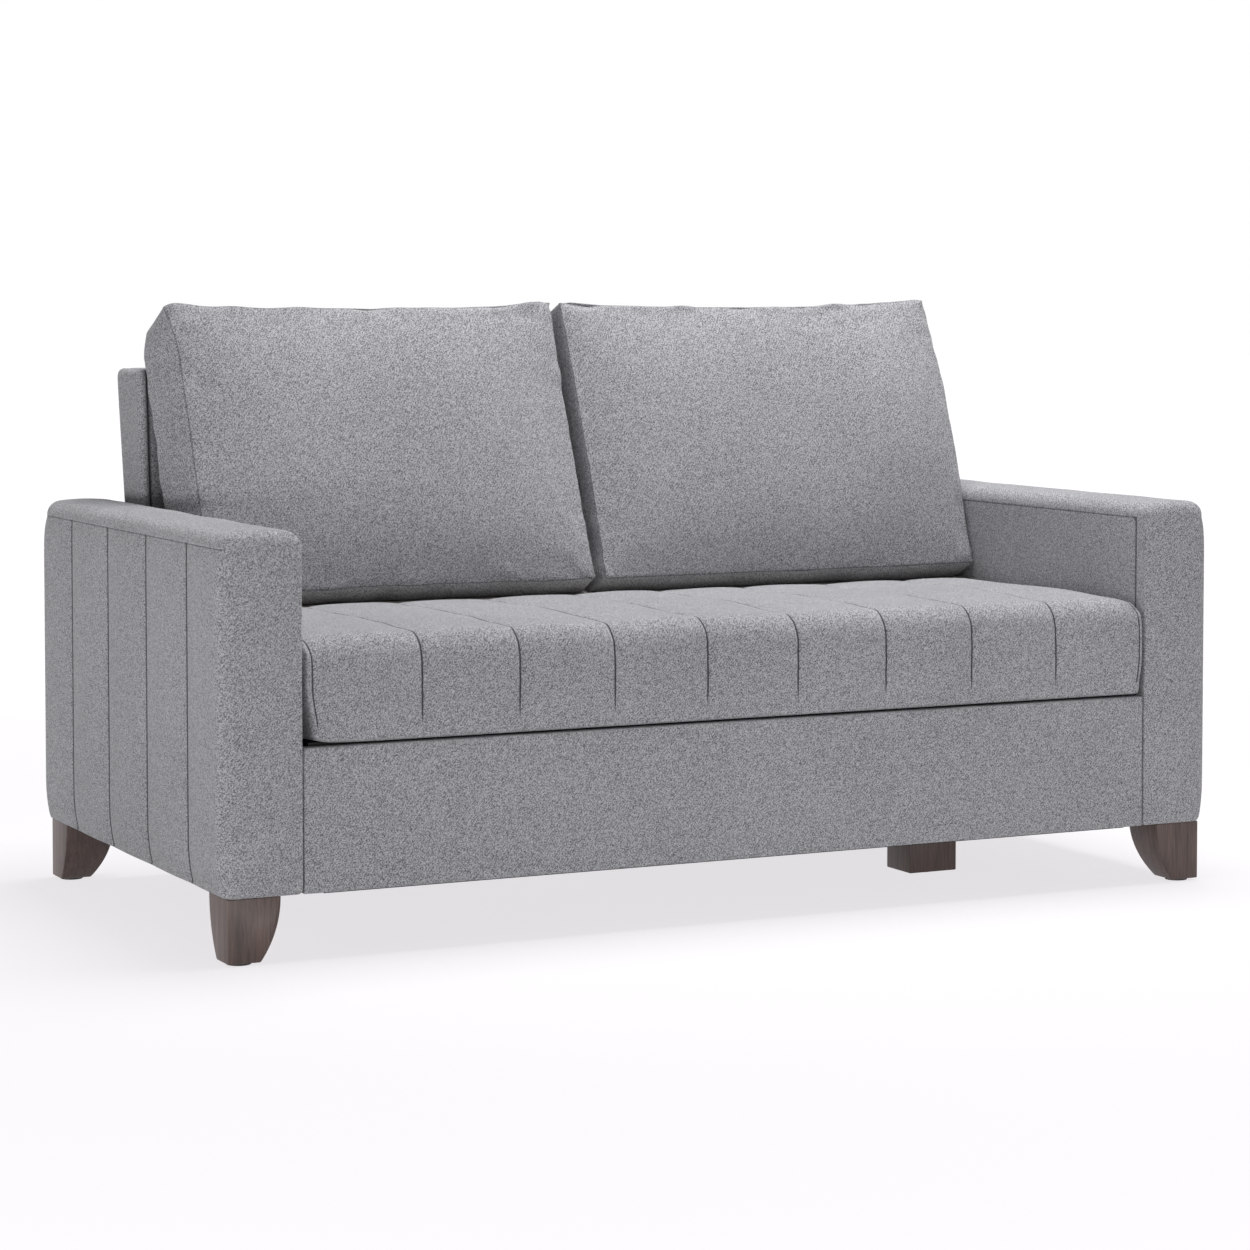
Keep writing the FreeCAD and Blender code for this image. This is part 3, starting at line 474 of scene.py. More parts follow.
def rail_padding(co, normal):
    """A wrapped board is a little uneven where the wadding under the cloth is."""
    co.y -= smooth(-normal.y, 0.5, 0.8) * 1.2 * MM * (1 + noise.noise(co * 6.0))
    return co, 0.0


shape(bm, rail_padding)
rail = make_piece("front_rail_wrap", bm, twill, 1)
stand_for(rail, "sofa", "upholstery", "front_rail_cover", fill=0.95)

# %% [markdown]
# The bench is one long cushion, quilted into nine channels that run over the top and down the front.
# The two end channels are a little wider, because they also wrap round the cushion's ends.

# %% Measures of the bench
bench_low, bench_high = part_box("bench_cushion")
bench_top = bench_low.z + 166 * MM
bench_half = 768 * MM
END_PITCH = 1.11
bench_pitch = 2 * bench_half / (7 + 2 * END_PITCH)
bench_seams = [(i - 4.5) * bench_pitch + 10 * MM for i in range(1, 9)]
bench_front = front + 1 * MM
bench_rear = bench_high.y - 1 * MM
end_seam = bench_half - 10 * MM
print("bench channels", round(bench_pitch / MM, 1), "mm wide")

# %% [markdown]
# Its front edge is a waterfall with a large radius, and the seams fade out near the bottom, where the
# cloth is pulled flat. The loops are cut at the sewn lines, so each seam can be a sharp valley. A bump
# pattern would leave the outline straight, and here it has to swell.

# %% Loops of the bench cushion
BENCH_GAPS = [gap * MM for gap in (0, 2.2, 6, 14, 30, 54, 83)]


def loops_of_bench(bm, low, high):
    """The corners and loops of the bench cushion."""
    round_edges(bm, 44 * MM, 9, lambda a, b: min(a.z, b.z) > 0.45 and max(a.y, b.y) < 0)
    round_edges(bm, 9 * MM, 4)
    cut_loops(bm, 0, beside(bench_seams, BENCH_GAPS))
    cut_loops(bm, 0, beside([0], [end_seam - gap * MM for gap in (0, 2.5, 8, 30)]))
    cut_loops(bm, 1, spread(low[1] + 46 * MM, high[1] - 12 * MM, 18))
    cut_loops(bm, 2, spread(low[2] + 9 * MM, high[2] - 44 * MM, 10))


print("loops across the bench:", len(beside(bench_seams, BENCH_GAPS)))

# %% [markdown]
# Quilting pulls the cover down at each seam and lets it swell between two, more on the front than on
# the top, where people sit. The thread also gathers the cloth, so small puckers stand beside a seam.
# They could be drawn one by one, but noise that fades away from the seam looks as natural.

# %% Channels of the bench cushion
def channels_of_bench(co, normal, shown, end):
    """How far the padding stands out between two seams, with the groove and puckers at a seam, and the
    painted shade in the groove.
    """
    gap = nearest(co.x, bench_seams)
    share = min(1.0, gap / (bench_pitch / 2))
    facing = smooth(-normal.y, 0.0, 0.9)
    pillow = (3 + 4 * facing) * MM * (1 - (1 - share) ** 2.4)
    groove = (1.8 + 1.4 * facing) * MM * math.exp(-gap / (4.5 * MM))
    creases = noise.noise(Vector((co.x * 30, co.y * 55, co.z * 55)))
    pucker = creases * 2.4 * MM * math.exp(-gap / (16 * MM))
    lumps = noise.noise(co * 7.0) * 2.6 * MM
    # The mark paints shade into the groove of each seam on the top and front.
    mark = shown * 1.3 if gap < ON_CUT and end < 0.1 else 0.0
    return pillow - groove + pucker + lumps - 1 * MM, mark


midway = Vector(((bench_seams[0] + bench_seams[1]) / 2, bench_front, bench_low.z + 80 * MM))
proud = channels_of_bench(midway, Vector((0, -1, 0)), 1.0, 0.0)[0]
print("padding between two seams stands", round(proud / MM, 1), "mm proud")

# %% [markdown]
# The whole cushion is shaped too. Its front bulges in the middle, its top is crowned and falls off to
# both ends, and its lower left corner is drawn in, as on the real one. All of it is one rule for every
# vertex, because then each effect blends into the next with no edge between them.

# %% Bench cushion
def move_bench(co, normal):
    above = smooth(co.z, bench_low.z + 5 * MM, bench_low.z + 60 * MM)
    shown = above * (1 - smooth(-normal.z, 0.3, 0.7))
    end = smooth(abs(normal.x), 0.4, 0.8)
    padding, mark = channels_of_bench(co, normal, shown, end)
    co += normal * shown * (1 - end) * padding
    belly = math.sin(math.pi * smooth(co.z, bench_low.z, bench_top))
    co.y -= smooth(-normal.y, 0.3, 0.8) * 3 * MM * belly
    along = math.sin(math.pi * smooth(co.y, bench_front, bench_rear))
    co.z += 4 * MM * smooth(normal.z, 0.3, 0.8) * along
    reach = bench_half - abs(co.x)
    near_end = 1 - smooth(reach, 0, 70 * MM)
    co.z -= smooth(normal.z, 0.2, 0.8) * 10 * MM * near_end**2
    if co.x < 0:
        down = 1 - smooth(co.z, bench_low.z, bench_low.z + 90 * MM)
        low_corner = near_end**2 * smooth(-co.y, 0.28, 0.46) * down
        co.x += 15 * MM * low_corner
        co.z += 6 * MM * low_corner
    # The end seam is pressed in, and its groove gets painted shade.
    on_end_seam = abs(abs(co.x) - end_seam) < 20 * MM and abs(reach - 10 * MM) < ON_CUT
    if on_end_seam and above > 0.1:
        co -= normal * 2.2 * MM
        mark = 1.0
    return co, mark


low = (-bench_half, bench_front + 4 * MM, bench_low.z)
high = (bench_half, bench_rear, bench_top)
bm = plain_box(low, high)
loops_of_bench(bm, low, high)
shape(bm, move_bench)
bench = make_piece("bench_seat", bm, twill, 1)
stand_for(bench, "bench_cushion", "upholstery", "bench_cushion", fill=0.85)

# %% [markdown]
# The back is a padded frame with a flat cover, lower than the cushions that lean on it. Seen from the
# side its front leans back, and its rear edge overhangs a little at the top. Two straight lines say
# where each face is at any height. They are used twice, for the cover and for the cushions on it.

# %% Lines of the back
back_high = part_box("back_rear_panel")[1]
back_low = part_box("back_rear_panel")[0]
pad_low, pad_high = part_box("back_front_pad")
back_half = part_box("right_back_end_panel")[1].x
deck_low, deck_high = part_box("rear_deck_pad")
deck_top = deck_high.z
rake_start = 0.620
LEAN_BACK = 29 * MM


def climb(value, low, high):
    """0 below low, 1 above high, and a straight line between them."""
    return min(1.0, max(0.0, (value - low) / (high - low)))


def back_front_face(z):
    if z < pad_low.z - 1 * MM:
        return pad_low.y + 17 * MM
    return pad_low.y + LEAN_BACK * climb(z, deck_top, pad_high.z - 16 * MM)


def back_rear_face(z):
    low_y = rear - 50 * MM
    high_y = pad_low.y + LEAN_BACK + 128 * MM
    return low_y + (high_y - low_y) * climb(z, rake_start, back_high.z)


for z in (deck_top, back_high.z):
    thick = (back_rear_face(z) - back_front_face(z)) / MM
    print("back", round(thick), "mm thick at a height of", round(z, 3))

# %% [markdown]
# The cover could be built leaning from the start. Here a straight box is cut into loops first, while
# the cuts are simple planes, and then sheared between the two lines.

# %% Back
BACK_DEEP = 112 * MM
BACK_SEAM = 15 * MM


def move_back(co, normal):
    share = co.y / BACK_DEEP
    y_front, y_rear = back_front_face(co.z), back_rear_face(co.z)
    # The mark paints shade into the groove of the seam near each end.
    mark = 1.0 if abs(abs(co.x) - (back_half - BACK_SEAM)) < ON_CUT else 0.0
    plump = -1.0 * MM if mark else (2.0 + 1.5 * noise.noise(co * 7.0)) * MM
    co.y = y_front + share * (y_rear - y_front)
    co += normal * plump * (1 - smooth(abs(normal.x), 0.5, 0.9)) * smooth(co.z, 0.5, 0.6)
    return co, mark


low = (-back_half, 0.0, back_low.z - 0.4 * MM)
high = (back_half, BACK_DEEP, pad_high.z)
bm = rounded_box(low, high, 14 * MM, 5)
cut_loops(bm, 0, spread(-back_half + 20 * MM, back_half - 20 * MM, 24))
cut_loops(bm, 0, beside([0], (back_half - BACK_SEAM, back_half - 19 * MM)))
cut_loops(bm, 2, [pad_low.z - 2 * MM, pad_low.z, rake_start])
cut_loops(bm, 2, spread(low[2] + 20 * MM, high[2] - 20 * MM, 14))
cut_loops(bm, 1, spread(16 * MM, 96 * MM, 3))
shape(bm, move_back)
back = make_piece("back_cover", bm, twill, 1)
ends = ["left_back_end_panel", "right_back_end_panel"]
stand_for(back, "sofa", "upholstery", "back_front_pad", "back_rear_panel", *ends, fill=0.9)

# %% [markdown]
# The two back cushions are boxed: a front and a rear panel joined by a strip about 90 mm wide. They
# are filled with loose fibre, so they bulge and their corners stick out as small ears. Their fullness
# could be drawn by a formula, but cloth is the honest way to get it. A flat box cover is blown up with
# gentle pressure and no gravity while its sewn seams are held.

# %% Cloth simulation
SIM_FRAMES = 20


def run_cloth(piece, pressure, held):
    """Blow a closed cover up with cloth, with some vertices held, and give where its points end."""
    cloth = piece.modifiers.new("cover", "CLOTH")
    settings = cloth.settings
    settings.quality = 6
    settings.mass = 0.25
    settings.tension_stiffness = 25
    settings.compression_stiffness = 12
    settings.shear_stiffness = 6
    settings.bending_stiffness = 0.4
    settings.use_pressure = True
    settings.uniform_pressure_force = pressure
    settings.effector_weights.gravity = 0
    cloth.collision_settings.use_collision = False
    group = piece.vertex_groups.new(name="held")
    group.add(held, 1.0, "REPLACE")
    settings.vertex_group_mass = "held"
    cloth.point_cache.frame_start = 1
    cloth.point_cache.frame_end = SIM_FRAMES
    scene = bpy.context.scene
    for step in range(1, SIM_FRAMES + 1):
        scene.frame_set(step)
    shown = piece.evaluated_get(bpy.context.evaluated_depsgraph_get())
    blown = np.zeros(len(piece.data.vertices) * 3)
    shown.data.vertices.foreach_get("co", blown)
    piece.modifiers.remove(cloth)
    piece.vertex_groups.remove(group)
    scene.frame_set(1)
    return blown.reshape(-1, 3)


print("each cushion cover is simulated for", SIM_FRAMES, "frames")

# %% [markdown]
# The result is kept as the cover's new shape. Cloth without filling inside can swell too far in places,
# so no point moves farther than a set reach. Stiffer cloth would also hold it, but would crease less.

# %% Keeping the blown-up shape
def inflate(piece, pressure, reach, held):
    """Keep the blown-up shape, with each point moved by no more than the reach."""
    mesh = piece.data
    rest = np.zeros(len(mesh.vertices) * 3)
    mesh.vertices.foreach_get("co", rest)
    rest = rest.reshape(-1, 3)
    step = run_cloth(piece, pressure, held) - rest
    length = np.linalg.norm(step, axis=1, keepdims=True)
    step *= np.minimum(1.0, reach / np.maximum(length, 1e-9))
    mesh.vertices.foreach_set("co", (rest + step).ravel())
    mesh.update()
    print(piece.name, "swelled by up to", round(float(length.max()) / MM, 1), "mm")


REACH = 30 * MM
print("no point of a cushion may move more than", REACH / MM, "mm")

# %% [markdown]
# The cushion's own frame has x across it, y through it from its front and z up its face. Its loops lie
# about 10 mm apart, fine enough for cloth to fold, and the seams of the boxing strip run along the
# middle of the rounded edges. The voxel remesh that often comes before cloth would lose those seams.

# %% Cover of a back cushion
cushion_low, cushion_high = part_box("right_back_cushion")
cushion_width = cushion_high.x - cushion_low.x
cushion_tall = 530 * MM
cushion_thick = 92 * MM
EDGE_RADIUS = 5 * MM
MID_EDGE = 1.46 * MM


def cushion_cover(name):
    low = (EDGE_RADIUS, EDGE_RADIUS, 0.0)
    high = (cushion_width - EDGE_RADIUS, cushion_thick - 2 * MM, cushion_tall)
    bm = rounded_box(low, high, EDGE_RADIUS, 2)
    for axis, count in ((0, 76), (2, 52), (1, 8)):
        cut_loops(bm, axis, spread(low[axis] + 7 * MM, high[axis] - 7 * MM, count))
    seam = bm.verts.layers.float.new("seam")
    for vert in bm.verts:
        margins = [min(vert.co[i] - low[i], high[i] - vert.co[i]) for i in range(3)]
        from_edge = (margins[1], min(margins[0], margins[2]))
        vert[seam] = float(all(abs(margin - MID_EDGE) < 1.2 * MM for margin in from_edge))
    piece = make_piece(name, bm, twill)
    seams = piece.data.attributes["seam"].data
    inflate(piece, 4.0, REACH, [i for i, mark in enumerate(seams) if mark.value > 0.5])
    return piece


print("cushion", [round(v / MM) for v in (cushion_width, cushion_thick, cushion_tall)], "mm")

# %% [markdown]
# After the simulation the cover gets what months of use give it. Its front bulges most below the
# middle, the top sags between two ears, the outer rear corner has sunk, and soft folds run in from
# the seams. Gravity in the simulation could do part of this, but not where the photograph shows it.

# %% Filling of a back cushion
BELLY = 20 * MM
EAR = 10 * MM
TIP_DROP = 5 * MM
SAG = 5 * MM
TOP_RISE = 2 * MM


def filled(co, normal, side, offset):
    """Where a point of the blown-up cover lies once the cushion has been used."""
    u = co.x / cushion_width * 2 - 1
    w = co.z / cushion_tall * 2 - 1
    belly = BELLY * (1 - u**4) * (1 - w**4) * (1 - 0.25 * w)
    co.y -= belly * (1 - co.y / cushion_thick)
    corner = smooth(u, 0.7, 1.0) * smooth(w, 0.7, 1.0) * co.y / cushion_thick
    co.z -= 24 * MM * corner
    co.x -= 14 * MM * corner
    tip = smooth(0.97 - abs(u), 0.0, 0.03)
    ears = EAR * abs(u) ** 6 - TIP_DROP * (1 - tip) - SAG * (1 - u * u)
    co.z += (ears + TOP_RISE) * smooth(w, 0.6, 1.0)
    co.z += 11 * MM * smooth(-w, 0.6, 1.0) * (1 - co.y / cushion_thick)
    inset = (40 if side < 0 else -4) * MM * (1 - 0.35 * smooth(w, 0.7, 1.0))
    if side > 0:
        ahead = 8 + 20 * smooth(w, -0.9, 0.0) * (1 - 0.6 * smooth(w, 0.2, 1.0))
        co.y -= ahead * MM * smooth(u, 0.2, 1.0) * (1 - co.y / cushion_thick)
    co.x -= inset * smooth(u, 0.5, 1.0) * (1 - co.y / cushion_thick)
    co.x -= 3 * MM * (1 - w * w) * u * abs(u)
    near_rim = 1 - min(1 - abs(u), (1 - abs(w)) * 0.7)
    fold = noise.noise(Vector((co.x * 9, 0, co.z * 14)) + offset)
    side_fold = noise.noise(Vector((co.y * 9, co.x * 16, co.z * 34)) + offset)
    puff = 3.5 * MM * fold * smooth(near_rim, 0.75, 1.0) + 3 * MM * noise.noise(co * 6.0 + offset)
    return co + normal * (puff + 8 * MM * side_fold * smooth(near_rim, 0.8, 1.0))


rise = EAR - TIP_DROP + SAG
print("the ears rise", round(rise / MM, 1), "mm above the middle of the top")

# %% [markdown]
# Last the cushion is leaned on the back, 21.5 degrees from upright, and pressed flat where it touches
# the deck and the back. A collision in the simulation could press it, but is slower and less steady.

# %% Back cushions
lean = math.radians(21.5)
cushion_foot = Vector((0, deck_low.y + 1 * MM, deck_top + 20.3 * MM))
SEAM_SHADE = 0.5


def leaned(co, left, side):
    """Lean a point of the cushion back, and keep it on the deck and in front of the back."""
    y = cushion_foot.y + co.z * math.sin(lean) + co.y * math.cos(lean)
    z = cushion_foot.z + co.z * math.cos(lean) - co.y * math.sin(lean)
    z = max(z, deck_top + 0.6 * MM)
    if z < pad_high.z:
        y = min(y, back_front_face(z) - 1.5 * MM)
    return side * (left + co.x), y, z


def lean_back(piece, left, side, seed):
    mesh = piece.data
    offset = Vector((seed * 3.1, seed * 1.7, 0))
    for vert, mark in zip(mesh.vertices, mesh.attributes["seam"].data):
        normal = vert.normal.copy()
        co = filled(vert.co.copy(), normal, side, offset)
        if mark.value > 0.5:
            co -= normal * 1.5 * MM
            mark.value = SEAM_SHADE
        vert.co = leaned(co, left, side)
    if side < 0:
        mesh.flip_normals()
    lay_weave(mesh)
    mesh.update()
    add_rounding(piece, 1)


for seed, (name, side) in enumerate((("left", -1), ("right", 1)), start=1):
    cushion = cushion_cover(f"{name}_back_pillow")
    lean_back(cushion, cushion_low.x, side, seed)
    stand_for(cushion, f"{name}_back_cushion", "upholstery", f"{name}_back_cushion", fill=0.6)

# %% [markdown]
# Under the bench the bed is folded in three. Its mattress pads are covered in an undyed cotton ticking
# with fine blue-grey stripes 24 mm apart. Wave bands give the stripes, cut narrow by a range, so they
# stay sharp near by. The threads are drawn 1.5 mm wide, about twice the real ones, to show at all.

# %% Cotton ticking
def cotton_ticking(name):
    material, tree = new_material(name)
    weave = add(tree, "UVMap", {"uv_map": "weave"}, {}).outputs["UV"]
    thread_size = {"Vector": weave, "Scale": 1 / (1.5 * MM), "Detail": 1.0}
    threads = add(tree, "TexNoise", FLAT, thread_size).outputs["Fac"]
    spacing = {"Vector": weave, "Scale": WAVES_PER_SCALE / (24 * MM), "Distortion": 0.0}
    stripes = add(tree, "TexWave", BANDS, spacing).outputs["Fac"]
    narrow = add(tree, "MapRange", {}, {"Value": stripes, "From Min": 0.93, "From Max": 0.97})
    creams = {"Factor": threads, "A": linear("#c9c4b8"), "B": linear("#e4e0d6")}
    base = add(tree, "Mix", MIX_COLOURS, creams).outputs["Result"]
    lines = {"Factor": narrow.outputs[0], "A": base, "B": linear("#8d97a6")}
    striped = add(tree, "Mix", MIX_COLOURS, lines)
    bump = add(tree, "Bump", {}, {"Strength": 0.4, "Distance": 0.3 * MM, "Height": threads})
    finish = {
        "Base Color": striped.outputs["Result"],
        "Roughness": 0.88,
        "Specular IOR Level": 0.25,
        "Normal": bump.outputs[0],
    }
    finish_material(tree, add(tree, "BsdfPrincipled", {}, finish))
    return material


ticking = cotton_ticking("striped cotton ticking")
print("made", ticking.name)

# %% [markdown]
# Each pad is thin foam, quilted in squares so that the foam stays in place. The seams could be a bump
# pattern, but the pads are seen edge on in the open bed, so they are cut in and drawn down. The same
# cloth covers the fixed deck behind, which is thinner.

# %% Mattress pads
def quilted_pad(name, node, radius, tuft, swell):
    """A mattress pad with sewn squares, over the solid of that name."""
    low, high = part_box(node)
    bm = rounded_box(low, high, radius, 4)
    seams = []
    for axis in (0, 1):
        count = max(2, round((high[axis] - low[axis]) / tuft))
        places = [low[axis] + (high[axis] - low[axis]) * i / count for i in range(1, count)]
        cut_loops(bm, axis, beside(places, (0, 4 * MM, 20 * MM)))
        seams.append(places)

    def move(co, normal):
        gap = min(nearest(co.x, seams[0]), nearest(co.y, seams[1]))
        face = smooth(abs(normal.z), 0.6, 0.9)
        co -= normal * face * swell * math.exp(-gap / (9 * MM))
        return co, 0.0

    shape(bm, move)
    return make_piece(name, bm, ticking, 1)


for section in ("head", "middle"):
    pad = quilted_pad(f"{section}_mattress", f"{section}_pad", 12 * MM, 165 * MM, 5 * MM)
    stand_for(pad, f"{section}_section", "ticking", f"{section}_pad", fill=0.8)
deck_pad = quilted_pad("rear_deck_cover", "rear_deck_pad", 2.4 * MM, 220 * MM, 1.5 * MM)
stand_for(deck_pad, "sofa", "ticking", "rear_deck_pad", fill=0.9)

# %% [markdown]
# The legs are solid beech stained dark walnut under a satin lacquer. The grain runs down the leg, in
# lines about 2.5 mm apart with broader bands between them. Noise stretched along the grain gives both.
# Rings could be cut through a turned pattern, but at this dark tone they would hardly show.

# %% Stained walnut
GRAIN_STRETCH = 0.06


def stained_wood(name, dark, light, roughness, grain_mm, along):
    """Wood with its grain along one axis: noise stretched so that it is long that way."""
    material, tree = new_material(name)
    place = add(tree, "TexCoord", {}, {}).outputs["Object"]
    stretch = [1.0, 1.0, 1.0]
    stretch[along] = GRAIN_STRETCH
    lie = add(tree, "Mapping", {}, {"Vector": place, "Scale": stretch}).outputs[0]
    lines = 1 / (grain_mm * MM)
    fine = {"Vector": lie, "Scale": lines, "Detail": 4.0, "Distortion": 0.6}
    grain = add(tree, "TexNoise", {}, fine).outputs["Fac"]
    broad = add(tree, "TexNoise", {}, {"Vector": lie, "Scale": 0.2 * lines, "Detail": 2.0})
    weighed = {0: broad.outputs["Fac"], 1: 0.8, 2: grain}
    both = add(tree, "Math", {"operation": "MULTIPLY_ADD"}, weighed).outputs[0]
    share = add(tree, "MapRange", {}, {"Value": both, "From Min": 0.65, "From Max": 1.15})
    browns = {"Factor": share.outputs[0], "A": linear(dark), "B": linear(light)}
    colour = add(tree, "Mix", MIX_COLOURS, browns)
    bump = add(tree, "Bump", {}, {"Strength": 0.15, "Distance": 0.3 * MM, "Height": grain})
    finish = {
        "Base Color": colour.outputs["Result"],
        "Roughness": roughness,
        "Coat Weight": 0.12,
        "Coat Roughness": 0.25,
        "Normal": bump.outputs[0],
    }
    finish_material(tree, add(tree, "BsdfPrincipled", {}, finish))
    return material


walnut = stained_wood("walnut-stained beech", "#392b26", "#66514b", 0.45, 2.5, 2)
print("made", walnut.name)

# %% [markdown]
# The legs' solids already have the right shape. A merged copy only gets its sharp corners eased, as a
# sander leaves them, because an edge with no radius at all never catches the light.

# %% Legs
def eased_copy(name, node, material, ease):
    """A merged copy of a solid with its sharp edges eased."""
    bm = bmesh.new()
    bm.from_mesh(nodes[node].data)
    bmesh.ops.remove_doubles(bm, verts=bm.verts, dist=1e-6)
    bmesh.ops.dissolve_limit(bm, angle_limit=math.radians(1), verts=bm.verts, edges=bm.edges)
    corner = math.radians(40)
    bevel(bm, [e for e in bm.edges if len(e.link_faces) == 2 and e.calc_face_angle() > corner], ease, 3)
    piece = make_piece(name, bm, material)
    piece.data.set_sharp_from_angle(angle=math.radians(35))
    return piece


corner_legs = [f"{end}_{side}_leg" for end in ("front", "rear") for side in ("left", "right")]
for node in (*corner_legs, "middle_block_leg"):
    leg = eased_copy(f"{node}_wood", node, walnut, 2 * MM)
    stand_for(leg, "sofa", "leg_wood", node)

# %% [markdown]
# What is left are parts that show only when the bed is open or from below. Steel tubes have a black
# powder coat, links and brackets are zinc-plated, the glides are moulded nylon, and a black spunbond
# lining closes the underside. Each could have a material of its own kind, but one recipe with its own
# colour, gloss and grit is enough for all, because all of them are plain with a fine mottling.

# %% Metal, nylon and lining
def fine_surface(name, colour, roughness, metallic, grit_mm, bump_mm, shade):
    """A plain finish with fine mottling: its grit, and how much the colour varies with it."""
    material, tree = new_material(name)
    place = add(tree, "TexCoord", {}, {}).outputs["Object"]
    grit = add(tree, "TexNoise", {}, {"Vector": place, "Scale": 1 / (grit_mm * MM), "Detail": 2.0})
    worn = add(tree, "TexNoise", {}, {"Vector": place, "Scale": 14.0, "Detail": 3.0}).outputs["Fac"]
    share = add(tree, "Math", {"operation": "MULTIPLY_ADD"}, {0: worn, 1: 0.6, 2: 0.2}).outputs[0]
    tones = {"Factor": share, "A": linear(colour), "B": linear(shade)}
    tone = add(tree, "Mix", MIX_COLOURS, tones)
    uneven = {0: worn, 1: 0.15, 2: roughness - 0.07}
    rough = add(tree, "Math", {"operation": "MULTIPLY_ADD"}, uneven)
    raised = {"Strength": 0.5, "Distance": bump_mm * MM, "Height": grit.outputs["Fac"]}
    bump = add(tree, "Bump", {}, raised)
    finish = {
        "Base Color": tone.outputs["Result"],
        "Roughness": rough.outputs[0],
        "Metallic": metallic,
        "Normal": bump.outputs[0],
    }
    finish_material(tree, add(tree, "BsdfPrincipled", {}, finish))
    return material


plywood = stained_wood("birch plywood", "#b8966a", "#d9bd92", 0.6, 5.0, 0)
coated = fine_surface("black powder coat", "#26272a", 0.5, 0.0, 1.2, 0.05, "#34353a")
zinc = fine_surface("zinc-plated steel", "#a9aaa8", 0.38, 1.0, 3.0, 0.02, "#c6c5bd")
nylon = fine_surface("moulded nylon", "#1f1e1f", 0.55, 0.0, 0.8, 0.03, "#2b2a2b")
lining = fine_surface("black spunbond lining", "#1a1a1b", 0.95, 0.0, 2.0, 0.2, "#2a2a2b")
# Painted shade: near-black plywood for the boards seen through gaps, so each gap reads as a dark line.
gap_shade_plywood = stained_wood("near-black plywood as gap shade", "#141414", "#1f1e1e", 0.7, 5.0, 0)
print("materials:", len(bpy.data.materials))

# %% [markdown]
# The imported record names a finish for each solid, and each solid keeps its shape and gets only that.
# Boards right behind the gaps between covers get a near-black finish instead, as painted shade, so the
# gaps show as dark lines where bare plywood would show as a pale line.

# %% Finishes for the solids that stay
finish_of = {
    "frame_wood": plywood,
    "section_steel": coated,
    "plated_steel": zinc,
    "glide": nylon,
    "dust_cloth": lining,
    "leg_wood": walnut,
    "upholstery": twill,
    "ticking": ticking,
}
shaded_gap_boards = ("front_rail_board", "seat_panel", "back_frame", "left_arm_frame", "right_arm_frame")
for part in frame["record"]["subparts"]:
    name = part["node"]
    mesh = nodes[name].data
    mesh.materials.clear()
    mesh.materials.append(gap_shade_plywood if name in shaded_gap_boards else finish_of[part["material_slot"]])

# %% [markdown]
# The sofa stands on a white sweep. A floor lit until it is white would bleach the sofa too, so the
# floor glows only towards the camera and in reflections, and takes the shadow with its matt share.
# Farther out the glow takes over, so that no horizon shows, and the world round it is white too.

# %% White floor and surroundings
def ray_is_seen(tree):
    """1 for rays that the camera or a glossy surface sends out, and 0 for light on the object."""
    path = add(tree, "LightPath", {}, {})
    either = {0: path.outputs["Is Camera Ray"], 1: path.outputs["Is Glossy Ray"]}
    return add(tree, "Math", {"operation": "MAXIMUM"}, either).outputs[0]


def pale_floor():
    material, tree = new_material("white floor")
    seen = ray_is_seen(tree)
    place = add(tree, "TexCoord", {}, {}).outputs["Object"]
    away = add(tree, "VectorMath", {"operation": "LENGTH"}, {0: place}).outputs["Value"]
    fade = {"Value": away, "From Min": 1.5, "From Max": 3.5, "To Min": 0.7}
    sweep = add(tree, "MapRange", {}, fade).outputs[0]
    share = add(tree, "Math", {"operation": "MULTIPLY"}, {0: seen, 1: sweep}).outputs[0]
    matt = add(tree, "BsdfDiffuse", {}, {"Color": linear("#f4f4f4")}).outputs[0]
    glow = add(tree, "Emission", {}, {"Color": (1.0, 0.972, 1.0, 1.0), "Strength": 1.07}).outputs[0]
    finish_material(tree, add(tree, "MixShader", {}, {0: share, 1: matt, 2: glow}))
    return material


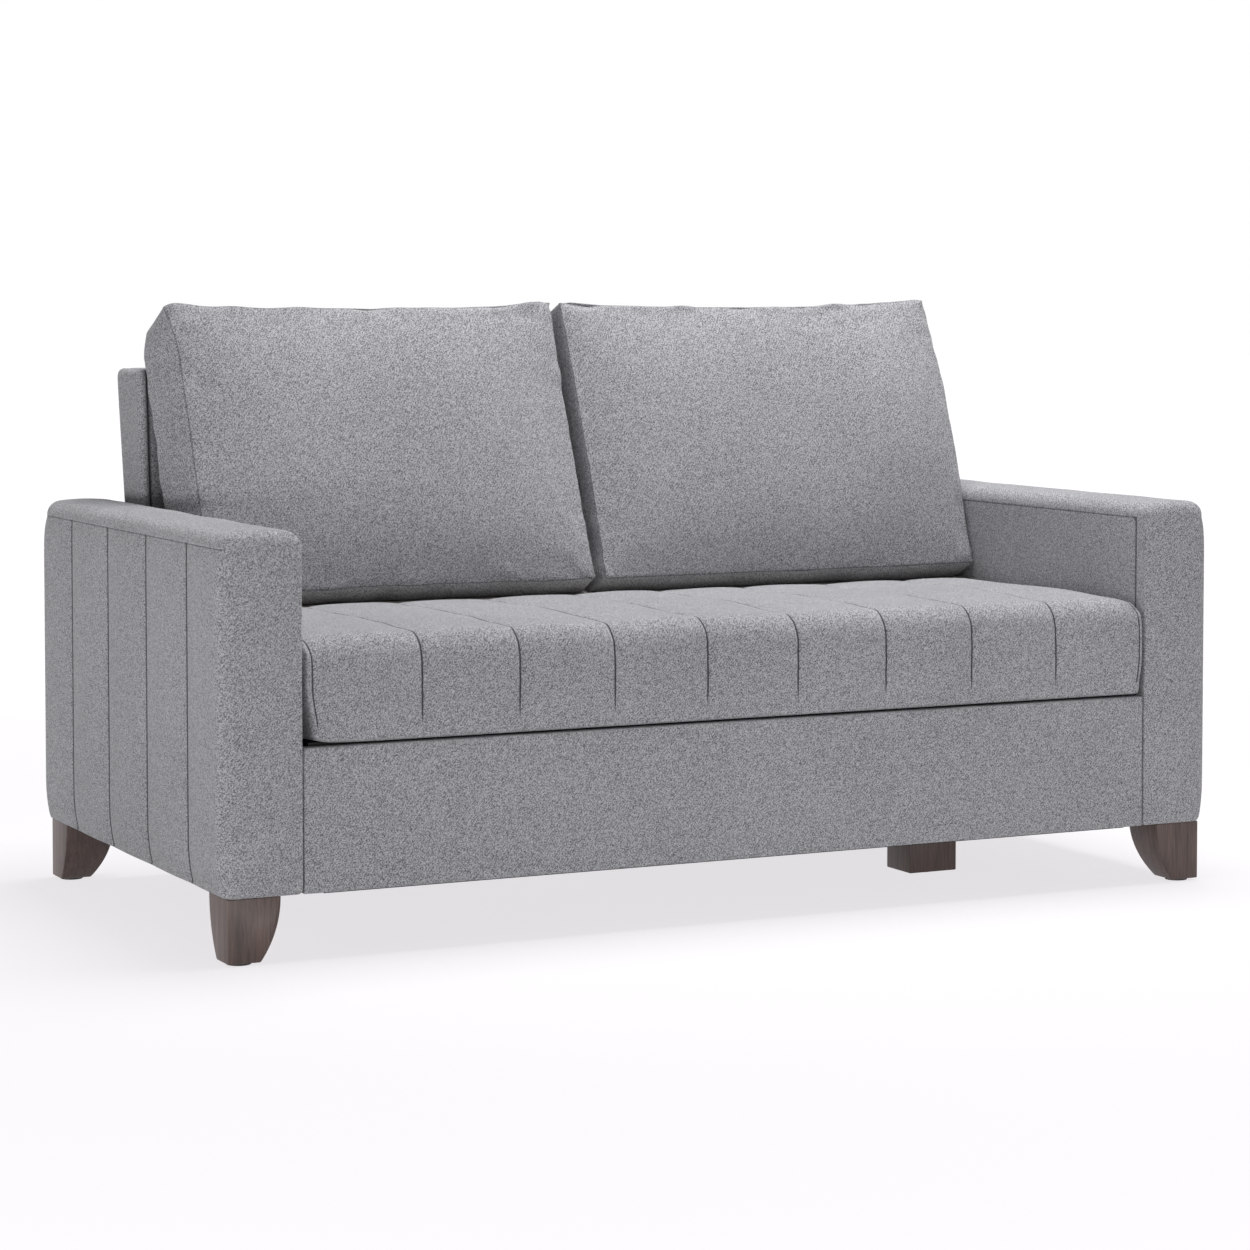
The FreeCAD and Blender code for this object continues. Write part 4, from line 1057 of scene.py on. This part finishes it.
bm = bmesh.new()
bmesh.ops.create_grid(bm, x_segments=1, y_segments=1, size=40.0)
floor = make_piece("floor", bm, pale_floor())
floor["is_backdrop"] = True

world = bpy.data.worlds.new("studio")
world.use_nodes = True
bpy.context.scene.world = world
sky = world.node_tree
sky.nodes.clear()
brightness = {"Value": ray_is_seen(sky), "To Min": 0.17, "To Max": 1.0}
strength = add(sky, "MapRange", {}, brightness).outputs[0]
around = add(sky, "Background", {}, {"Color": (1, 1, 1, 1), "Strength": strength})
output = sky.nodes.new("ShaderNodeOutputWorld")
sky.links.new(around.outputs[0], output.inputs["Surface"])

# %% [markdown]
# A large soft box above makes the top faces brightest and the shadow short and pale. Two long strips
# near the floor, in front and to the left, fill the fronts and the left side. A single bright lamp
# could light it all, but would give the hard shadow that a studio avoids.

# %% Lamps
def soft_lamp(name, place, target, width, tall, watts):
    """A soft box that points from its place to a target."""
    light = bpy.data.lights.new(name, "AREA")
    light.shape = "RECTANGLE"
    light.size = width
    light.size_y = tall
    light.energy = watts
    lamp = bpy.data.objects.new(name, light)
    lamp.location = place
    lamp.rotation_euler = (Vector(target) - Vector(place)).to_track_quat("-Z", "Y").to_euler()
    bpy.context.scene.collection.objects.link(lamp)
    print(name, width, "by", tall, "m,", watts, "W")


soft_lamp("overhead", (0.8, 0.2, 4.2), (0.8, 0.2, 0.0), 2.8, 2.8, 188)
soft_lamp("front_strip", (-0.6, -6.4, 0.35), (-0.1, 0, 0.3), 6.0, 0.6, 78)
soft_lamp("left_strip", (-4.8, -0.6, 0.33), (0, 0, 0.3), 3.0, 0.55, 52)

# %% [markdown]
# The camera stands about six metres away, nearly level, to the left of the front. A long lens keeps
# the sofa's lines nearly parallel, and the small shift frames it without tilting the upright edges.

# %% Camera
camera_data = bpy.data.cameras.new("camera")
camera_data.sensor_width = 36.0
camera_data.lens = 99.08
camera_data.shift_y = -0.12
camera_data.clip_end = 100.0
camera = bpy.data.objects.new("camera", camera_data)
camera.location = (-2.6325, -5.3638, 1.0235)
camera.rotation_euler = (math.radians(90 - 3.034), 0, math.radians(-26.167))
bpy.context.scene.collection.objects.link(camera)
bpy.context.scene.camera = camera
bpy.context.scene.view_settings.view_transform = "Standard"
print("camera", round(camera.location.length, 2), "m from the sofa's foot, lens", camera_data.lens)

# %% [markdown]
# The last cell prints the size of the finished model.

# %% Sizes and finish
low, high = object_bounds()
print("final box:", [round(v, 3) for v in (*low, *high)])
